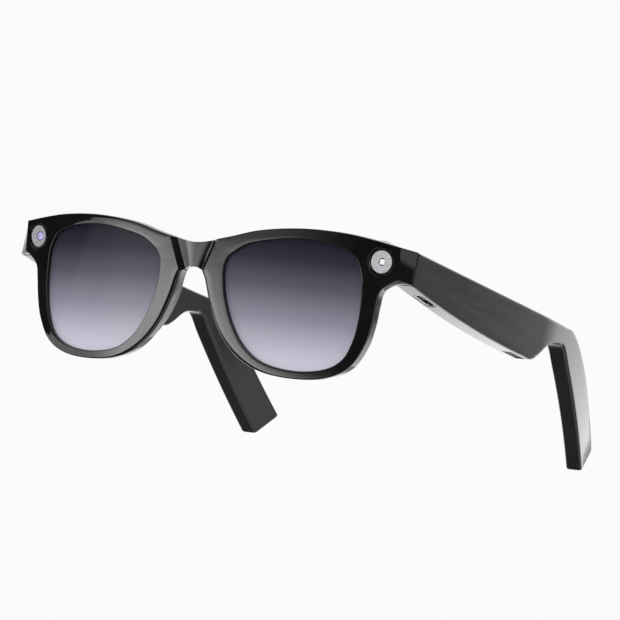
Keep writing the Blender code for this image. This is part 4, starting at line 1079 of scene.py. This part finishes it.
def phosphor():
    """The chip's yellow phosphor under clear resin, slightly uneven, with a painted glow that brightens
    it.
    """
    made, tree, shader = principled("phosphor", (0.93, 0.91, 0.84), 0.35)
    fac = object_noise(tree, 2200.0, 2.0)
    tint(tree, shader, fac, (0.80, 0.78, 0.69), (0.97, 0.965, 0.93))
    # Painted glow: an off-white emission that makes the chip shine brighter than its colour alone
    shader.inputs["Emission Color"].default_value = (1.0, 0.97, 0.9, 1.0)
    shader.inputs["Emission Strength"].default_value = 0.45
    return made


def soft_block(low, high, edge, segments=2):
    mesh_data = block(low, high)
    bmesh.ops.bevel(mesh_data, geom=mesh_data.edges[:], offset=edge, segments=segments, affect="EDGES")
    return mesh_data


def emitter_chip():
    """A square chip with every edge rounded, set down in the middle of the diffuser."""
    mesh_data = soft_block(-CHIP_HALF, CHIP_HALF, CHIP_EDGE, 3)
    place = LIGHT_SEAT @ Matrix.Translation((0, 0, -CHIP_DEPTH))
    bmesh.ops.transform(mesh_data, matrix=place, verts=mesh_data.verts)
    module_piece(mesh_data, "light_chip", phosphor(), ["light_emitter"])


module_ring(LIGHT_SEAT, "light_ring", "light_bezel")
module_cover(LIGHT_SEAT, "light_cover", "light_window")
silver = ringed_silver("light_silver", 0.68, LIGHT_SEAT, 0.7 * MM)
stepped_cone(LIGHT_SEAT, "light_cone", LIGHT_STEPS, silver)
emitter_chip()


# Hinges. Each is a stamped steel leaf let into the end piece and another let into the temple, held
# by slotted screws, with three knuckles turning on a headed pin.

KNUCKLE_RADIUS = 1.7 * MM
KNUCKLE_HEIGHT = 2.2 * MM
KNUCKLE_GAP = 0.12 * MM
PIN_RADIUS = 0.6 * MM
PIN_HEAD_RADIUS = 1.3 * MM
LEAF_THICKNESS = 0.6 * MM
LEAF_EDGE = 0.12 * MM
HEAD_RADIUS = 0.95 * MM
HEAD_HEIGHT = 0.35 * MM
SLOT_HALF = 0.14 * MM
WEB_THICKNESS = 1.2 * MM


def brushed_steel():
    """Tumbled stainless steel: a fine directional grain in its tone, gloss and relief."""
    made, tree, shader = principled("brushed_steel", (0.56, 0.56, 0.57), 0.25, Metallic=1.0)
    grain = object_noise(tree, 900.0, 4.0, stretch=(1.0, 1.0, 9.0))
    tint(tree, shader, grain, (0.44, 0.44, 0.45), (0.64, 0.64, 0.65))
    vary_roughness(tree, shader, grain, 0.2, 0.36)
    bump(tree, shader, grain, 0.25, 0.01 * MM)
    return made


STEEL = brushed_steel()


def steel_piece(mesh_data, name, body, node_name, joined=(), holes=()):
    made = object_from(mesh_data, name, STEEL)
    carve(made, joined, "UNION")
    carve(made, holes)
    smooth(made)
    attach(made, body)
    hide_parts(node_name)


def knuckle(place, base):
    """One barrel of the hinge, with a small round on both of its rims."""
    edge, bore, top = LEAF_EDGE, PIN_RADIUS + KNUCKLE_GAP, base + KNUCKLE_HEIGHT
    profile = [
        (bore, base), (KNUCKLE_RADIUS - edge, base), (KNUCKLE_RADIUS, base + edge),
        (KNUCKLE_RADIUS, top - edge), (KNUCKLE_RADIUS - edge, top), (bore, top),
    ]
    return turned(profile, place, ring=True)


def slotted_screw(middle, outward_turn, shank_end, name, body, node_name):
    """A cheese-head screw, its slot cut across the head and turned a little off square."""
    edge = 0.1 * MM
    profile = [
        (SCREW_RADIUS * 0.6, shank_end), (SCREW_RADIUS, shank_end + 0.25 * MM), (SCREW_RADIUS, 0.0),
        (HEAD_RADIUS, 0.0), (HEAD_RADIUS, HEAD_HEIGHT - edge), (HEAD_RADIUS - edge, HEAD_HEIGHT),
    ]
    place = Matrix.Translation(middle) @ outward_turn
    reach, floor = 2 * HEAD_RADIUS, HEAD_HEIGHT * 0.45
    slot = block((-SLOT_HALF, -reach, floor), (SLOT_HALF, reach, OVERRUN))
    turn = place @ Matrix.Rotation(math.radians(25.0), 4, "Z")
    bmesh.ops.transform(slot, matrix=turn, verts=slot.verts)
    steel_piece(turned(profile, place, 40), name, body, node_name, holes=[slot])


def front_hinge_leaf(side, word, pin, knuckle_bases):
    low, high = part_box(f"front_hinge_leaf_{word}")
    far = high.x if side > 0 else low.x
    plate_start = pin.x - side * (KNUCKLE_RADIUS / 2 + FIT)
    back = low.y + LEAF_THICKNESS
    plate = soft_block((plate_start, low.y, low.z), (far, back, high.z), LEAF_EDGE)
    joined = []
    for base in (knuckle_bases[0], knuckle_bases[2]):
        joined.append(block(
            (plate_start + side * 0.01 * MM, back - LEAF_THICKNESS / 2, base),
            (plate_start + side * KNUCKLE_RADIUS, pin.y - PIN_RADIUS - FIT, base + KNUCKLE_HEIGHT),
        ))
        joined.append(knuckle(Matrix.Translation((pin.x, pin.y, 0.0)), base))
    turn = Matrix.Rotation(math.pi / 2, 4, "X")
    holes = []
    for number in (1, 2):
        middle = middle_of(f"front_leaf_screw_{word}_{number}")
        place = Matrix.Translation((middle.x, back, middle.z)) @ turn
        holes.append(screw_hole(place, OVERRUN, 32))
    name = f"front_leaf_plate_{word}"
    steel_piece(plate, name, "front", f"front_hinge_leaf_{word}", joined, holes)


def temple_hinge_leaf(side, word, pin, knuckle_bases):
    low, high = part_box(f"{word}_temple_leaf")
    outer = high.x if side > 0 else low.x
    start = pin.y - KNUCKLE_RADIUS / 2
    inner = outer - side * LEAF_THICKNESS
    plate = soft_block((inner, start, low.z), (outer, high.y, high.z), LEAF_EDGE)
    base = knuckle_bases[1]
    web = block(
        (pin.x + side * (PIN_RADIUS + FIT), pin.y - WEB_THICKNESS / 2, base),
        ((outer + inner) / 2, pin.y + WEB_THICKNESS / 2, base + KNUCKLE_HEIGHT),
    )
    joined = [web, knuckle(Matrix.Translation((pin.x, pin.y, 0.0)), base)]
    holes = []
    for number in (1, 2):
        middle = middle_of(f"{word}_temple_leaf_screw_{number}")
        place = Matrix.Translation((outer, middle.y, middle.z)) @ Matrix.Rotation(math.pi / 2, 4, "Y")
        holes.append(screw_hole(place, OVERRUN, 32))
    name = f"{word}_temple_leaf_plate"
    steel_piece(plate, name, f"{word}_temple", f"{word}_temple_leaf", joined, holes)


def headed_pin(word, pin):
    low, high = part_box(f"hinge_pin_{word}")
    neck, edge = high.z - 0.8 * MM, 0.14 * MM
    profile = [
        (PIN_RADIUS - edge, low.z), (PIN_RADIUS, low.z + edge), (PIN_RADIUS, neck),
        (PIN_HEAD_RADIUS, neck), (PIN_HEAD_RADIUS, high.z - 2 * edge),
        (PIN_HEAD_RADIUS - edge, high.z - 0.6 * edge), (PIN_HEAD_RADIUS - 3 * edge, high.z),
    ]
    place = Matrix.Translation((pin.x, pin.y, 0.0))
    slot = block((-0.17 * MM, -OVERRUN, high.z - 0.3 * MM), (0.17 * MM, OVERRUN, high.z + OVERRUN))
    bmesh.ops.transform(slot, matrix=place @ Matrix.Rotation(0.6, 4, "Z"), verts=slot.verts)
    steel_piece(turned(profile, place, 40), f"pin_{word}", "front", f"hinge_pin_{word}", holes=[slot])


for side, word in ((1, "left"), (-1, "right")):
    pin = middle_of(f"hinge_pin_{word}")
    leaf_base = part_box(f"front_hinge_leaf_{word}")[0].z
    knuckle_bases = [leaf_base + i * (KNUCKLE_HEIGHT + KNUCKLE_GAP) for i in range(3)]
    front_hinge_leaf(side, word, pin, knuckle_bases)
    temple_hinge_leaf(side, word, pin, knuckle_bases)
    headed_pin(word, pin)
    for number in (1, 2):
        node_name = f"front_leaf_screw_{word}_{number}"
        low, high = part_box(node_name)
        head = Vector(((low.x + high.x) / 2, high.y - HEAD_HEIGHT, (low.z + high.z) / 2))
        turn = Matrix.Rotation(-math.pi / 2, 4, "X")
        slotted_screw(head, turn, low.y - head.y, f"front_screw_{word}_{number}", "front", node_name)
        node_name = f"{word}_temple_leaf_screw_{number}"
        low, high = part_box(node_name)
        near, far = (low.x, high.x) if side > 0 else (high.x, low.x)
        head = Vector((near + side * HEAD_HEIGHT, (low.y + high.y) / 2, (low.z + high.z) / 2))
        turn = Matrix.Rotation(-side * math.pi / 2, 4, "Y")
        name, reach = f"{word}_temple_screw_{number}", -abs(far - head.x)
        slotted_screw(head, turn, reach, name, f"{word}_temple", node_name)


# Temples. Each is a long gloss black shell that tapers up from the hinge, swells to a hump over
# the speaker, and turns down into a flat tip that tucks in behind the ear, with rounded edges.

TEMPLE_THICKNESS = 6.7 * MM
TEMPLE_SAG = 5.2 * MM
SAG_SHARE = 0.94
ARM_LENGTH = 74.2 * MM
TIP_LENGTH = 50.0 * MM
TIP_HEIGHT = 12.2 * MM
TIP_ANGLE = math.radians(43.2)
TIP_TUCK = 6.9 * MM
TIP_THICKNESS = 6.1 * MM
TIP_START = 18.0 * MM
TIP_DROP = 6.9 * MM
TUCK_START = 4.0 * MM
TEMPLE_WALL = 1.5 * MM
OUTER_WALL = 1.2 * MM
LID_THICKNESS = 1.1 * MM
LID_LAP = 0.8 * MM
BAY_SETBACK = 11.0 * MM
BAY_STEPS = 24
ARM_EDGE = 0.55 * MM
TIP_EDGE = 1.1 * MM
CAP_EDGE = 0.9 * MM
SEAM_EDGE = 0.3 * MM
TEMPLE_STEPS = 8
ARM_STATIONS = (0.0, 0.16, 0.36, 0.6, 0.8, 0.93)
BEND_SHAPE = [
    ((1.0 * MM, 0.0), (-0.5 * MM, -15.4 * MM)),
    ((5.0 * MM, 0.0), (3.0 * MM, -13.2 * MM)),
    ((11.0 * MM, -0.05 * MM), (8.0 * MM, -8.8 * MM)),
    ((19.0 * MM, -0.15 * MM), (13.0 * MM, -6.8 * MM)),
]
TIP_SHAPE = {0.0: 3.2 * MM, 0.17: 1.0 * MM, 0.4: 0.0, 0.7: 0.0, 1.0: 0.0}
INNER_X = OUTER_X - TEMPLE_THICKNESS
ARM_END = TEMPLE_START + ARM_LENGTH


def underside(y):
    """The arm's lower edge, which sags towards the ear and flattens out."""
    share = min(1.0, (y - TEMPLE_START) / (SAG_SHARE * ARM_LENGTH))
    return TEMPLE_TOP - TEMPLE_FRONT_HEIGHT - TEMPLE_SAG * (1 - (1 - share) ** 2)


def temple_pairs():
    """Matched points (y, z) on the temple's upper and lower edges, from the hinge to the tip."""
    pairs = []
    for share in ARM_STATIONS:
        y = TEMPLE_START + share * ARM_LENGTH
        pairs.append((Vector((y, TEMPLE_TOP)), Vector((y, underside(y)))))
    corner = Vector((ARM_END, TEMPLE_TOP))
    for upper, lower in BEND_SHAPE:
        pairs.append((corner + Vector(upper), corner + Vector(lower)))
    along = Vector((math.cos(TIP_ANGLE), -math.sin(TIP_ANGLE)))
    across = Vector((math.sin(TIP_ANGLE), math.cos(TIP_ANGLE)))
    start = corner + Vector((TIP_START, -TIP_DROP))
    for share, lowered in TIP_SHAPE.items():
        lower = start + along * TIP_LENGTH * share
        pairs.append((lower + across * (TIP_HEIGHT - lowered), lower))
    return pairs


def temple_stations():
    sampled = []
    for line in zip(*temple_pairs()):
        before, after = 2 * line[0] - line[1], 2 * line[-1] - line[-2]
        points = smooth_line(line, before, after, TEMPLE_STEPS)
        sampled.append([point for point, _ in points] + [line[-1]])
    return list(zip(*sampled))


def tuck(y):
    """How far the tip has curved in towards the head, and its thickness there."""
    reach = TIP_START + TIP_LENGTH * math.cos(TIP_ANGLE) - TUCK_START
    share = max(0.0, (y - ARM_END - TUCK_START) / reach)
    return TIP_TUCK * share * share, lerp(TEMPLE_THICKNESS, TIP_THICKNESS, min(1.0, share))


def temple_ring(side, upper, lower, edge, inset):
    """The section between two edge points: four faces, with each corner rounded."""
    up = (upper - lower).normalized() * inset
    corners = []
    for point, lift, inward in ((upper, -up, 0), (lower, up, 0), (lower, up, 1), (upper, -up, 1)):
        offset, thickness = tuck(point.x)
        place = point + lift
        x = OUTER_X - offset - (thickness - inset if inward else inset)
        corners.append(Vector((side * x, place.x, place.y)))
    ring = []
    for i, corner in enumerate(corners):
        before = (corners[i - 1] - corner).normalized() * edge
        after = (corners[(i + 1) % 4] - corner).normalized() * edge
        ring += rounded(corner, before, after)
        start, end = corner + after, corners[(i + 1) % 4] - after
        ring += [lerp(start, end, share) for share in (0.08, 0.5, 0.92)]
    return ring


def temple_edge(y):
    """The rounding grows from crisp along the arm to soft at the tip."""
    return lerp(ARM_EDGE, TIP_EDGE, between((y - ARM_END) / TIP_START))


def moved_along(here, there, distance):
    return tuple(a + (b - a).normalized() * distance for a, b in zip(here, there))


def temple_shell(side):
    stations = temple_stations()
    rings = []
    for angle in QUARTER[:-1]:
        sunk = SEAM_EDGE * (1 - math.sin(angle))
        upper, lower = moved_along(stations[0], stations[1], SEAM_EDGE * (1 - math.cos(angle)))
        rings.append(temple_ring(side, upper, lower, ARM_EDGE, sunk))
    for upper, lower in stations[1:-2]:
        rings.append(temple_ring(side, upper, lower, temple_edge(upper.x), 0.0))
    for angle in QUARTER:
        upper, lower = moved_along(stations[-1], stations[-2], CAP_EDGE * (1 - math.sin(angle)))
        rings.append(temple_ring(side, upper, lower, TIP_EDGE, CAP_EDGE * (1 - math.cos(angle))))
    return loft(rings)


def arm_prism(side, wall, lap, depth, shrink):
    """A solid let into the arm's inner face, following its edges at this distance."""
    start = TEMPLE_START + BAY_SETBACK - lap + shrink
    end = ARM_END - TEMPLE_WALL + lap - shrink
    line = [lerp(start, end, i / BAY_STEPS) for i in range(BAY_STEPS + 1)]
    edge = [Vector((y, underside(y) + wall + shrink)) for y in line]
    edge += [Vector((end, TEMPLE_TOP - wall - shrink)), Vector((start, TEMPLE_TOP - wall - shrink))]
    outside = INNER_X if shrink else INNER_X - OVERRUN
    rings = []
    for x in (outside, INNER_X + depth):
        rings.append([Vector((side * x, point.x, point.y)) for point in edge])
    return loft(rings)


def temple_leaf_recess(side, word):
    low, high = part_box(f"{word}_temple_leaf")
    outer = max(abs(low.x), abs(high.x)) + FIT / 2
    near_y = middle_of(f"hinge_pin_{word}").y - KNUCKLE_RADIUS / 2 - FIT
    cutters = [block(
        (side * (INNER_X - OVERRUN), near_y, low.z - FIT), (side * outer, high.y + FIT, high.z + FIT)
    )]
    for number in (1, 2):
        middle = middle_of(f"{word}_temple_leaf_screw_{number}")
        place = Matrix.Translation((side * outer, middle.y, middle.z))
        place = place @ Matrix.Rotation(side * math.pi / 2, 4, "Y")
        cutters.append(screw_hole(place, SCREW_LENGTH, 24))
    return cutters


def grille_slot(word):
    low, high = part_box(f"{word}_speaker_grille")
    room = Vector((FIT, FIT, FIT))
    return block(low - room - Vector((0, 0, OVERRUN)), high + room + Vector((0, 0, TEMPLE_WALL)))


def no_slope(_):
    return 0.0


def stadium(middle, length, width, ends, steps=10):
    """An upright solid with round ends. Each end has a height, what it is above, and its growth."""
    rings = []
    for z, above, grow in ends:
        radius = width / 2 + grow
        ring = []
        for end in (1, -1):
            for i in range(steps + 1):
                angle = math.pi * i / steps + (0 if end == 1 else math.pi)
                y = middle.y + end * (length / 2 - width / 2) + radius * math.sin(angle)
                ring.append(Vector((middle.x + radius * math.cos(angle), y, z + above(y))))
        rings.append(ring)
    return loft(rings)


def outer_gloss_black():
    """The front's gloss black, with the long faint brush lines that polishing leaves on an arm."""
    made, tree, shader = principled("outer_gloss_black", (0.008, 0.008, 0.009), 0.08, IOR=1.52)
    haze = object_noise(tree, 60.0, 3.0)
    tint(tree, shader, haze, (0.0065, 0.0065, 0.007), (0.0105, 0.0105, 0.011))
    lines = object_noise(tree, 700.0, 3.0, stretch=(1.0, 0.06, 1.0))
    vary_roughness(tree, shader, lines, 0.06, 0.12)
    bump(tree, shader, lines, 0.05, 0.02 * MM)
    return made


TEMPLE_BLACK = outer_gloss_black()
port_low, port_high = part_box("charging_port")
PORT_MIDDLE = middle_of("charging_port")
button_low, button_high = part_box("capture_button")
BUTTON_MIDDLE = middle_of("capture_button")
PORT_SIZE = (port_high.y - port_low.y, port_high.x - port_low.x)
BUTTON_LIP = 0.5 * MM
BUTTON_SIZE = (
    button_high.y - button_low.y - 2 * BUTTON_LIP,
    button_high.x - button_low.x - 2 * BUTTON_LIP,
)


def microphone_mouth():
    """A small round sound hole under the arm, with a dished rim."""
    y = middle_of("microphone").y
    dish = [(0.9 * MM, -0.3 * MM), (0.5 * MM, 0.25 * MM), (0.5 * MM, OVERRUN)]
    return turned(dish, Matrix.Translation((BUTTON_MIDDLE.x, y, underside(y))), 32)


def temple(side, word):
    made = object_from(temple_shell(side), f"{word}_temple_moulding", TEMPLE_BLACK)
    cutters = [
        arm_prism(side, TEMPLE_WALL, 0.0, TEMPLE_THICKNESS - OUTER_WALL, 0.0),
        arm_prism(side, TEMPLE_WALL - LID_LAP, LID_LAP, LID_THICKNESS + FIT, 0.0),
        *temple_leaf_recess(side, word),
        grille_slot(word),
    ]
    if side > 0:
        length, width = (size + 2 * FIT for size in PORT_SIZE)
        bore = [(-OVERRUN, underside, 0.0), (port_high.z + FIT, no_slope, 0.0)]
        rim = [(-0.2 * MM, underside, 0.5 * MM), (0.3 * MM, underside, 0.0)]
        cutters += [stadium(PORT_MIDDLE, length, width, ends) for ends in (bore, rim)]
    else:
        length, width = (size + 2 * FIT for size in BUTTON_SIZE)
        bore = [(TEMPLE_TOP - 3 * MM, no_slope, 0.0), (TEMPLE_TOP + OVERRUN, no_slope, 0.0)]
        rim = [(TEMPLE_TOP - 0.2 * MM, no_slope, 0.0), (TEMPLE_TOP + 0.2 * MM, no_slope, 0.4 * MM)]
        cutters += [stadium(BUTTON_MIDDLE, length, width, ends) for ends in (bore, rim)]
        cutters.append(microphone_mouth())
    carve(made, cutters)
    smooth(made, 30.0)
    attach(made, f"{word}_temple")
    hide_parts(f"{word}_temple_shell")


temple(1, "left")
temple(-1, "right")


# Inner lids. A satin black cover closes each temple's electronics bay on the side of the head,
# snapped into a step so that it lies flush, with a fine shadow line all round it.

LID_EDGE = 0.18 * MM


def inner_lid(side, word):
    mesh_data = arm_prism(side, TEMPLE_WALL - LID_LAP, LID_LAP, LID_THICKNESS, FIT)
    rim = [
        edge for edge in mesh_data.edges
        if all(abs(abs(vert.co.x) - INNER_X) < 0.01 * MM for vert in edge.verts)
    ]
    bmesh.ops.bevel(mesh_data, geom=rim, offset=LID_EDGE, segments=3, affect="EDGES")
    made = object_from(mesh_data, f"{word}_inner_lid", SATIN_BLACK)
    smooth(made)
    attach(made, f"{word}_temple")
    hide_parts(f"{word}_temple_lid")


inner_lid(1, "left")
inner_lid(-1, "right")


# Speaker grilles. A dark plate under each hump lets the sound down to the ear through rows of
# punched holes; it is pressed in from below and sits just inside the shell's mouth.

HOLE_COLUMNS = 13
HOLE_ROWS = 4
HOLE_RADIUS = 0.2 * MM
HOLE_PITCH = 0.6 * MM
HOLE_SIDES = 14


def new_tree(name, *inputs):
    """A tree that takes a mesh, these inputs of (name, kind), a middle and a material."""
    tree = bpy.data.node_groups.new(name, "GeometryNodeTree")
    inputs = (("Geometry", "Geometry"), *inputs, ("Middle", "Vector"), ("Material", "Material"))
    for label, kind in inputs:
        tree.interface.new_socket(label, in_out="INPUT", socket_type="NodeSocket" + kind)
    tree.interface.new_socket("Geometry", in_out="OUTPUT", socket_type="NodeSocketGeometry")
    return tree, tree.nodes.new("NodeGroupInput").outputs


def reach_of(tree, count, pitch):
    return product(tree, maths(tree, "SUBTRACT", count, 1.0), pitch)


def copies_on_grid(tree, shape, middle, rows, width, columns, length):
    """The shape's copies, as real mesh, on a grid about the middle."""
    grid = node(
        tree, "GeometryNodeMeshGrid", Size_X=width, Size_Y=length, Vertices_X=rows, Vertices_Y=columns
    )
    placed = node(tree, "GeometryNodeTransform", Geometry=grid.outputs["Mesh"], Translation=middle)
    copies = node(tree, "GeometryNodeInstanceOnPoints", Points=placed.outputs[0], Instance=shape)
    return node(tree, "GeometryNodeRealizeInstances", _0=copies.outputs[0]).outputs[0]


def end_tree(tree, geometry, material):
    painted = node(tree, "GeometryNodeSetMaterial", Geometry=geometry, Material=material)
    node(tree, "NodeGroupOutput", _0=painted.outputs[0])
    return tree


def perforation_tree():
    """Punches a grid of round holes through the mesh that it is given."""
    tree, given = new_tree(
        "perforation", ("Columns", "Int"), ("Rows", "Int"), ("Pitch", "Float"),
        ("Hole Radius", "Float"), ("Depth", "Float"),
    )
    rows, columns = given["Rows"], given["Columns"]
    width, length = (reach_of(tree, count, given["Pitch"]) for count in (rows, columns))
    punch = node(
        tree, "GeometryNodeMeshCylinder", Vertices=HOLE_SIDES, Radius=given["Hole Radius"],
        Depth=given["Depth"],
    )
    punches = copies_on_grid(tree, punch.outputs["Mesh"], given["Middle"], rows, width, columns, length)
    cut = tree.nodes.new("GeometryNodeMeshBoolean")
    cut.operation = "DIFFERENCE"
    cut.solver = "EXACT"
    plug(tree, cut.inputs["Mesh 1"], given["Geometry"])
    plug(tree, cut.inputs["Mesh 2"], punches)
    whole = node(tree, "GeometryNodeRealizeInstances", _0=cut.outputs["Mesh"])
    return end_tree(tree, whole.outputs[0], given["Material"])


def run_nodes(piece, tree, **values):
    """Gives the piece the tree's result as plain mesh."""
    modifier = piece.modifiers.new("nodes", "NODES")
    modifier.node_group = tree
    keys = {
        item.name: item.identifier
        for item in tree.interface.items_tree
        if item.item_type == "SOCKET" and item.in_out == "INPUT"
    }
    for name, value in values.items():
        modifier[keys[name.replace("_", " ")]] = value
    apply_modifiers(piece)


def grille_black():
    """Etched steel sheet in a dull dark coat, with a fine mottle in its tone and relief."""
    made, tree, shader = principled("grille_black", (0.05, 0.05, 0.05), 0.5)
    fac = object_noise(tree, 3500.0, 2.0)
    tint(tree, shader, fac, (0.030, 0.030, 0.031), (0.070, 0.070, 0.071))
    bump(tree, shader, fac, 0.3, 0.01 * MM)
    return made


GRILLE_BLACK = grille_black()
perforation = perforation_tree()
for word in ("left", "right"):
    low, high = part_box(f"{word}_speaker_grille")
    made = object_from(soft_block(low, high, LEAF_EDGE), f"{word}_grille", GRILLE_BLACK)
    run_nodes(
        made, perforation, Columns=HOLE_COLUMNS, Rows=HOLE_ROWS, Pitch=HOLE_PITCH,
        Hole_Radius=HOLE_RADIUS, Depth=4 * MM, Middle=(low + high) / 2, Material=GRILLE_BLACK,
    )
    smooth(made)
    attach(made, f"{word}_temple")
    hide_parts(f"{word}_speaker_grille")


# Charging port. A drawn steel mouth in the left arm's underside holds a plastic tongue, with a row
# of gilt contacts down each side of it.

PORT_WALL = 0.3 * MM
PORT_BACK = 1.2 * MM
TONGUE = Vector((0.7 * MM, 6.5 * MM, 0.9 * MM))
CONTACTS = 8
CONTACT_SIZE = (0.06 * MM, 0.34 * MM, 2.2 * MM)
CONTACT_PITCH = 0.7 * MM
CONTACT_SETBACK = 0.35 * MM


def contact_row_tree():
    """A row of equal small blades along Y, on both sides of the tongue."""
    tree, given = new_tree(
        "contact_row", ("Count", "Int"), ("Pitch", "Float"), ("Apart", "Float"), ("Size", "Vector")
    )
    length = reach_of(tree, given["Count"], given["Pitch"])
    blade = node(tree, "GeometryNodeMeshCube", Size=given["Size"]).outputs["Mesh"]
    row = copies_on_grid(tree, blade, given["Middle"], 2, given["Apart"], given["Count"], length)
    return end_tree(tree, row, given["Material"])


def evenly_marked(name, colour, roughness, scale, dark, light, metallic=0.0):
    """A small moulded or plated part's finish: one colour with a fine, even mottle."""
    made, tree, shader = principled(name, colour, roughness, Metallic=metallic)
    tint(tree, shader, object_noise(tree, scale, 2.0), dark, light)
    return made


def port_pieces():
    middle = PORT_MIDDLE
    length, width = PORT_SIZE
    top = port_high.z
    sleeve = stadium(middle, length, width, [(0.15 * MM, underside, 0.0), (top, no_slope, 0.0)])
    hollow = (length - 2 * PORT_WALL, width - 2 * PORT_WALL)
    bore = stadium(middle, *hollow, [(-OVERRUN, underside, 0.0), (top - PORT_BACK, no_slope, 0.0)])
    lead = stadium(middle, *hollow, [(0.05 * MM, underside, 0.2 * MM), (0.4 * MM, underside, 0.0)])
    steel_piece(sleeve, "port_sleeve", "left_temple", "charging_port", holes=[bore, lead])
    low = (middle.x - TONGUE.x / 2, middle.y - TONGUE.y / 2, port_low.z + TONGUE.z)
    high = (middle.x + TONGUE.x / 2, middle.y + TONGUE.y / 2, top - PORT_BACK / 2)
    plastic = evenly_marked(
        "tongue_plastic", (0.06, 0.06, 0.062), 0.4, 2500.0, (0.05, 0.05, 0.052), (0.08, 0.08, 0.083)
    )
    gilt = evenly_marked(
        "gilt", (0.9, 0.66, 0.28), 0.25, 3000.0, (0.78, 0.54, 0.20), (0.95, 0.74, 0.36), metallic=1.0
    )
    tongue = object_from(soft_block(low, high, LEAF_EDGE), "port_tongue", plastic)
    contacts = object_from(block(low, high), "port_contacts", None)
    contact_z = low[2] + CONTACT_SETBACK + CONTACT_SIZE[2] / 2
    run_nodes(
        contacts, contact_row_tree(), Count=CONTACTS, Pitch=CONTACT_PITCH, Apart=TONGUE.x,
        Size=CONTACT_SIZE, Middle=(middle.x, middle.y, contact_z), Material=gilt,
    )
    for piece in (tongue, contacts):
        smooth(piece)
        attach(piece, "left_temple")


port_pieces()


# Capture button. A pill-shaped key stands a little proud of the right arm's top, softly dished for
# the fingertip, with a flange under it that keeps it in.

FLANGE_HEIGHT = 0.6 * MM
KEY_ROUND = 0.32 * MM
# The dish's rings: in from the key's side, and down from its top
KEY_DISH = [(0.7 * MM, 0.03 * MM), (1.05 * MM, 0.07 * MM)]


def capture_button():
    low, high = button_low.z, button_high.z
    crown = [(KEY_ROUND * (1 - math.cos(a)), KEY_ROUND * (1 - math.sin(a))) for a in QUARTER]
    ends = [(low + FLANGE_HEIGHT / 2, no_slope, 0.0)]
    ends += [(high - drop, no_slope, -inset) for inset, drop in crown + KEY_DISH]
    key = stadium(BUTTON_MIDDLE, *BUTTON_SIZE, ends, steps=12)
    made = object_from(key, "capture_key", SATIN_BLACK)
    length, width = (size + 2 * BUTTON_LIP for size in BUTTON_SIZE)
    ends = [(low, no_slope, 0.0), (low + FLANGE_HEIGHT, no_slope, 0.0)]
    flange = stadium(BUTTON_MIDDLE, length, width, ends, steps=12)
    carve(made, [flange], "UNION")
    smooth(made)
    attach(made, "capture_button")
    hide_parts("capture_button")


capture_button()


# Inside. The boards, cells, speakers, switch, microphone and the brow's flat cable keep their CAD
# shapes and get real surfaces: solder mask with copper traces, shrink wrap, tin and polyimide.


def board_mask():
    """Green solder mask over a maze of traces, with pale spots where the pads are tinned."""
    made, tree, shader = principled("board_mask", (0.02, 0.09, 0.05), 0.35)
    place = node(tree, "ShaderNodeTexCoord").outputs["Object"]
    cells = node(tree, "ShaderNodeTexVoronoi", Vector=place, Scale=1500.0)
    cells.distance = "CHEBYCHEV"
    mask = [(0.1, (0.05, 0.20, 0.09)), (0.3, (0.012, 0.07, 0.04))]
    traces = colour_stops(tree, cells.outputs["Distance"], mask)
    spots = node(tree, "ShaderNodeTexVoronoi", Vector=place, Scale=700.0)
    pads = step_between(tree, spots.outputs["Distance"], 0.16, 0.12)
    mix = node(tree, "ShaderNodeMix")
    mix.data_type = "RGBA"
    for name, value in (("Factor", pads), ("A", traces), ("B", (0.62, 0.6, 0.55, 1))):
        plug(tree, mix.inputs[name], value)
    plug(tree, shader.inputs["Base Color"], mix.outputs["Result"])
    plug(tree, shader.inputs["Metallic"], pads)
    bump(tree, shader, cells.outputs["Distance"], 0.3, 0.03 * MM)
    return made


def mottled(name, dark, light, roughness, scale, metallic=0.0, stretch=(1.0, 1.0, 1.0)):
    """A worked surface: mottled in colour, gloss and relief by one noise."""
    made, tree, shader = principled(name, light, roughness, Metallic=metallic)
    fac = object_noise(tree, scale, 4.0, stretch)
    tint(tree, shader, fac, dark, light)
    vary_roughness(tree, shader, fac, roughness * 0.8, roughness * 1.25)
    bump(tree, shader, fac, 0.3, 0.02 * MM)
    return made


BOARD = board_mask()
CELL = mottled("cell_wrap_foil", (0.24, 0.26, 0.28), (0.40, 0.42, 0.44), 0.35, 260.0, 0.5)
CONE = mottled("speaker_housing", (0.018, 0.018, 0.018), (0.045, 0.045, 0.046), 0.45, 1800.0)
TIN = mottled("switch_tinplate", (0.42, 0.42, 0.42), (0.58, 0.58, 0.57), 0.3, 1400.0, 1.0)
BRASS = mottled("microphone_brass", (0.50, 0.40, 0.22), (0.66, 0.56, 0.34), 0.3, 1400.0, 1.0)
AMBER = mottled(
    "flex_polyimide", (0.28, 0.12, 0.02), (0.42, 0.20, 0.04), 0.35, 900.0, stretch=(1.0, 1.0, 6.0)
)

INSIDE = {
    BOARD: ("camera_board", "light_board", "left_circuit", "right_circuit"),
    CELL: ("left_battery", "right_battery"),
    CONE: ("left_speaker", "right_speaker"),
    TIN: ("button_switch",),
    BRASS: ("microphone",),
    AMBER: ("front_flex",),
}
for material, names in INSIDE.items():
    for name in names:
        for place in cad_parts[name].material_slots:
            place.material = material
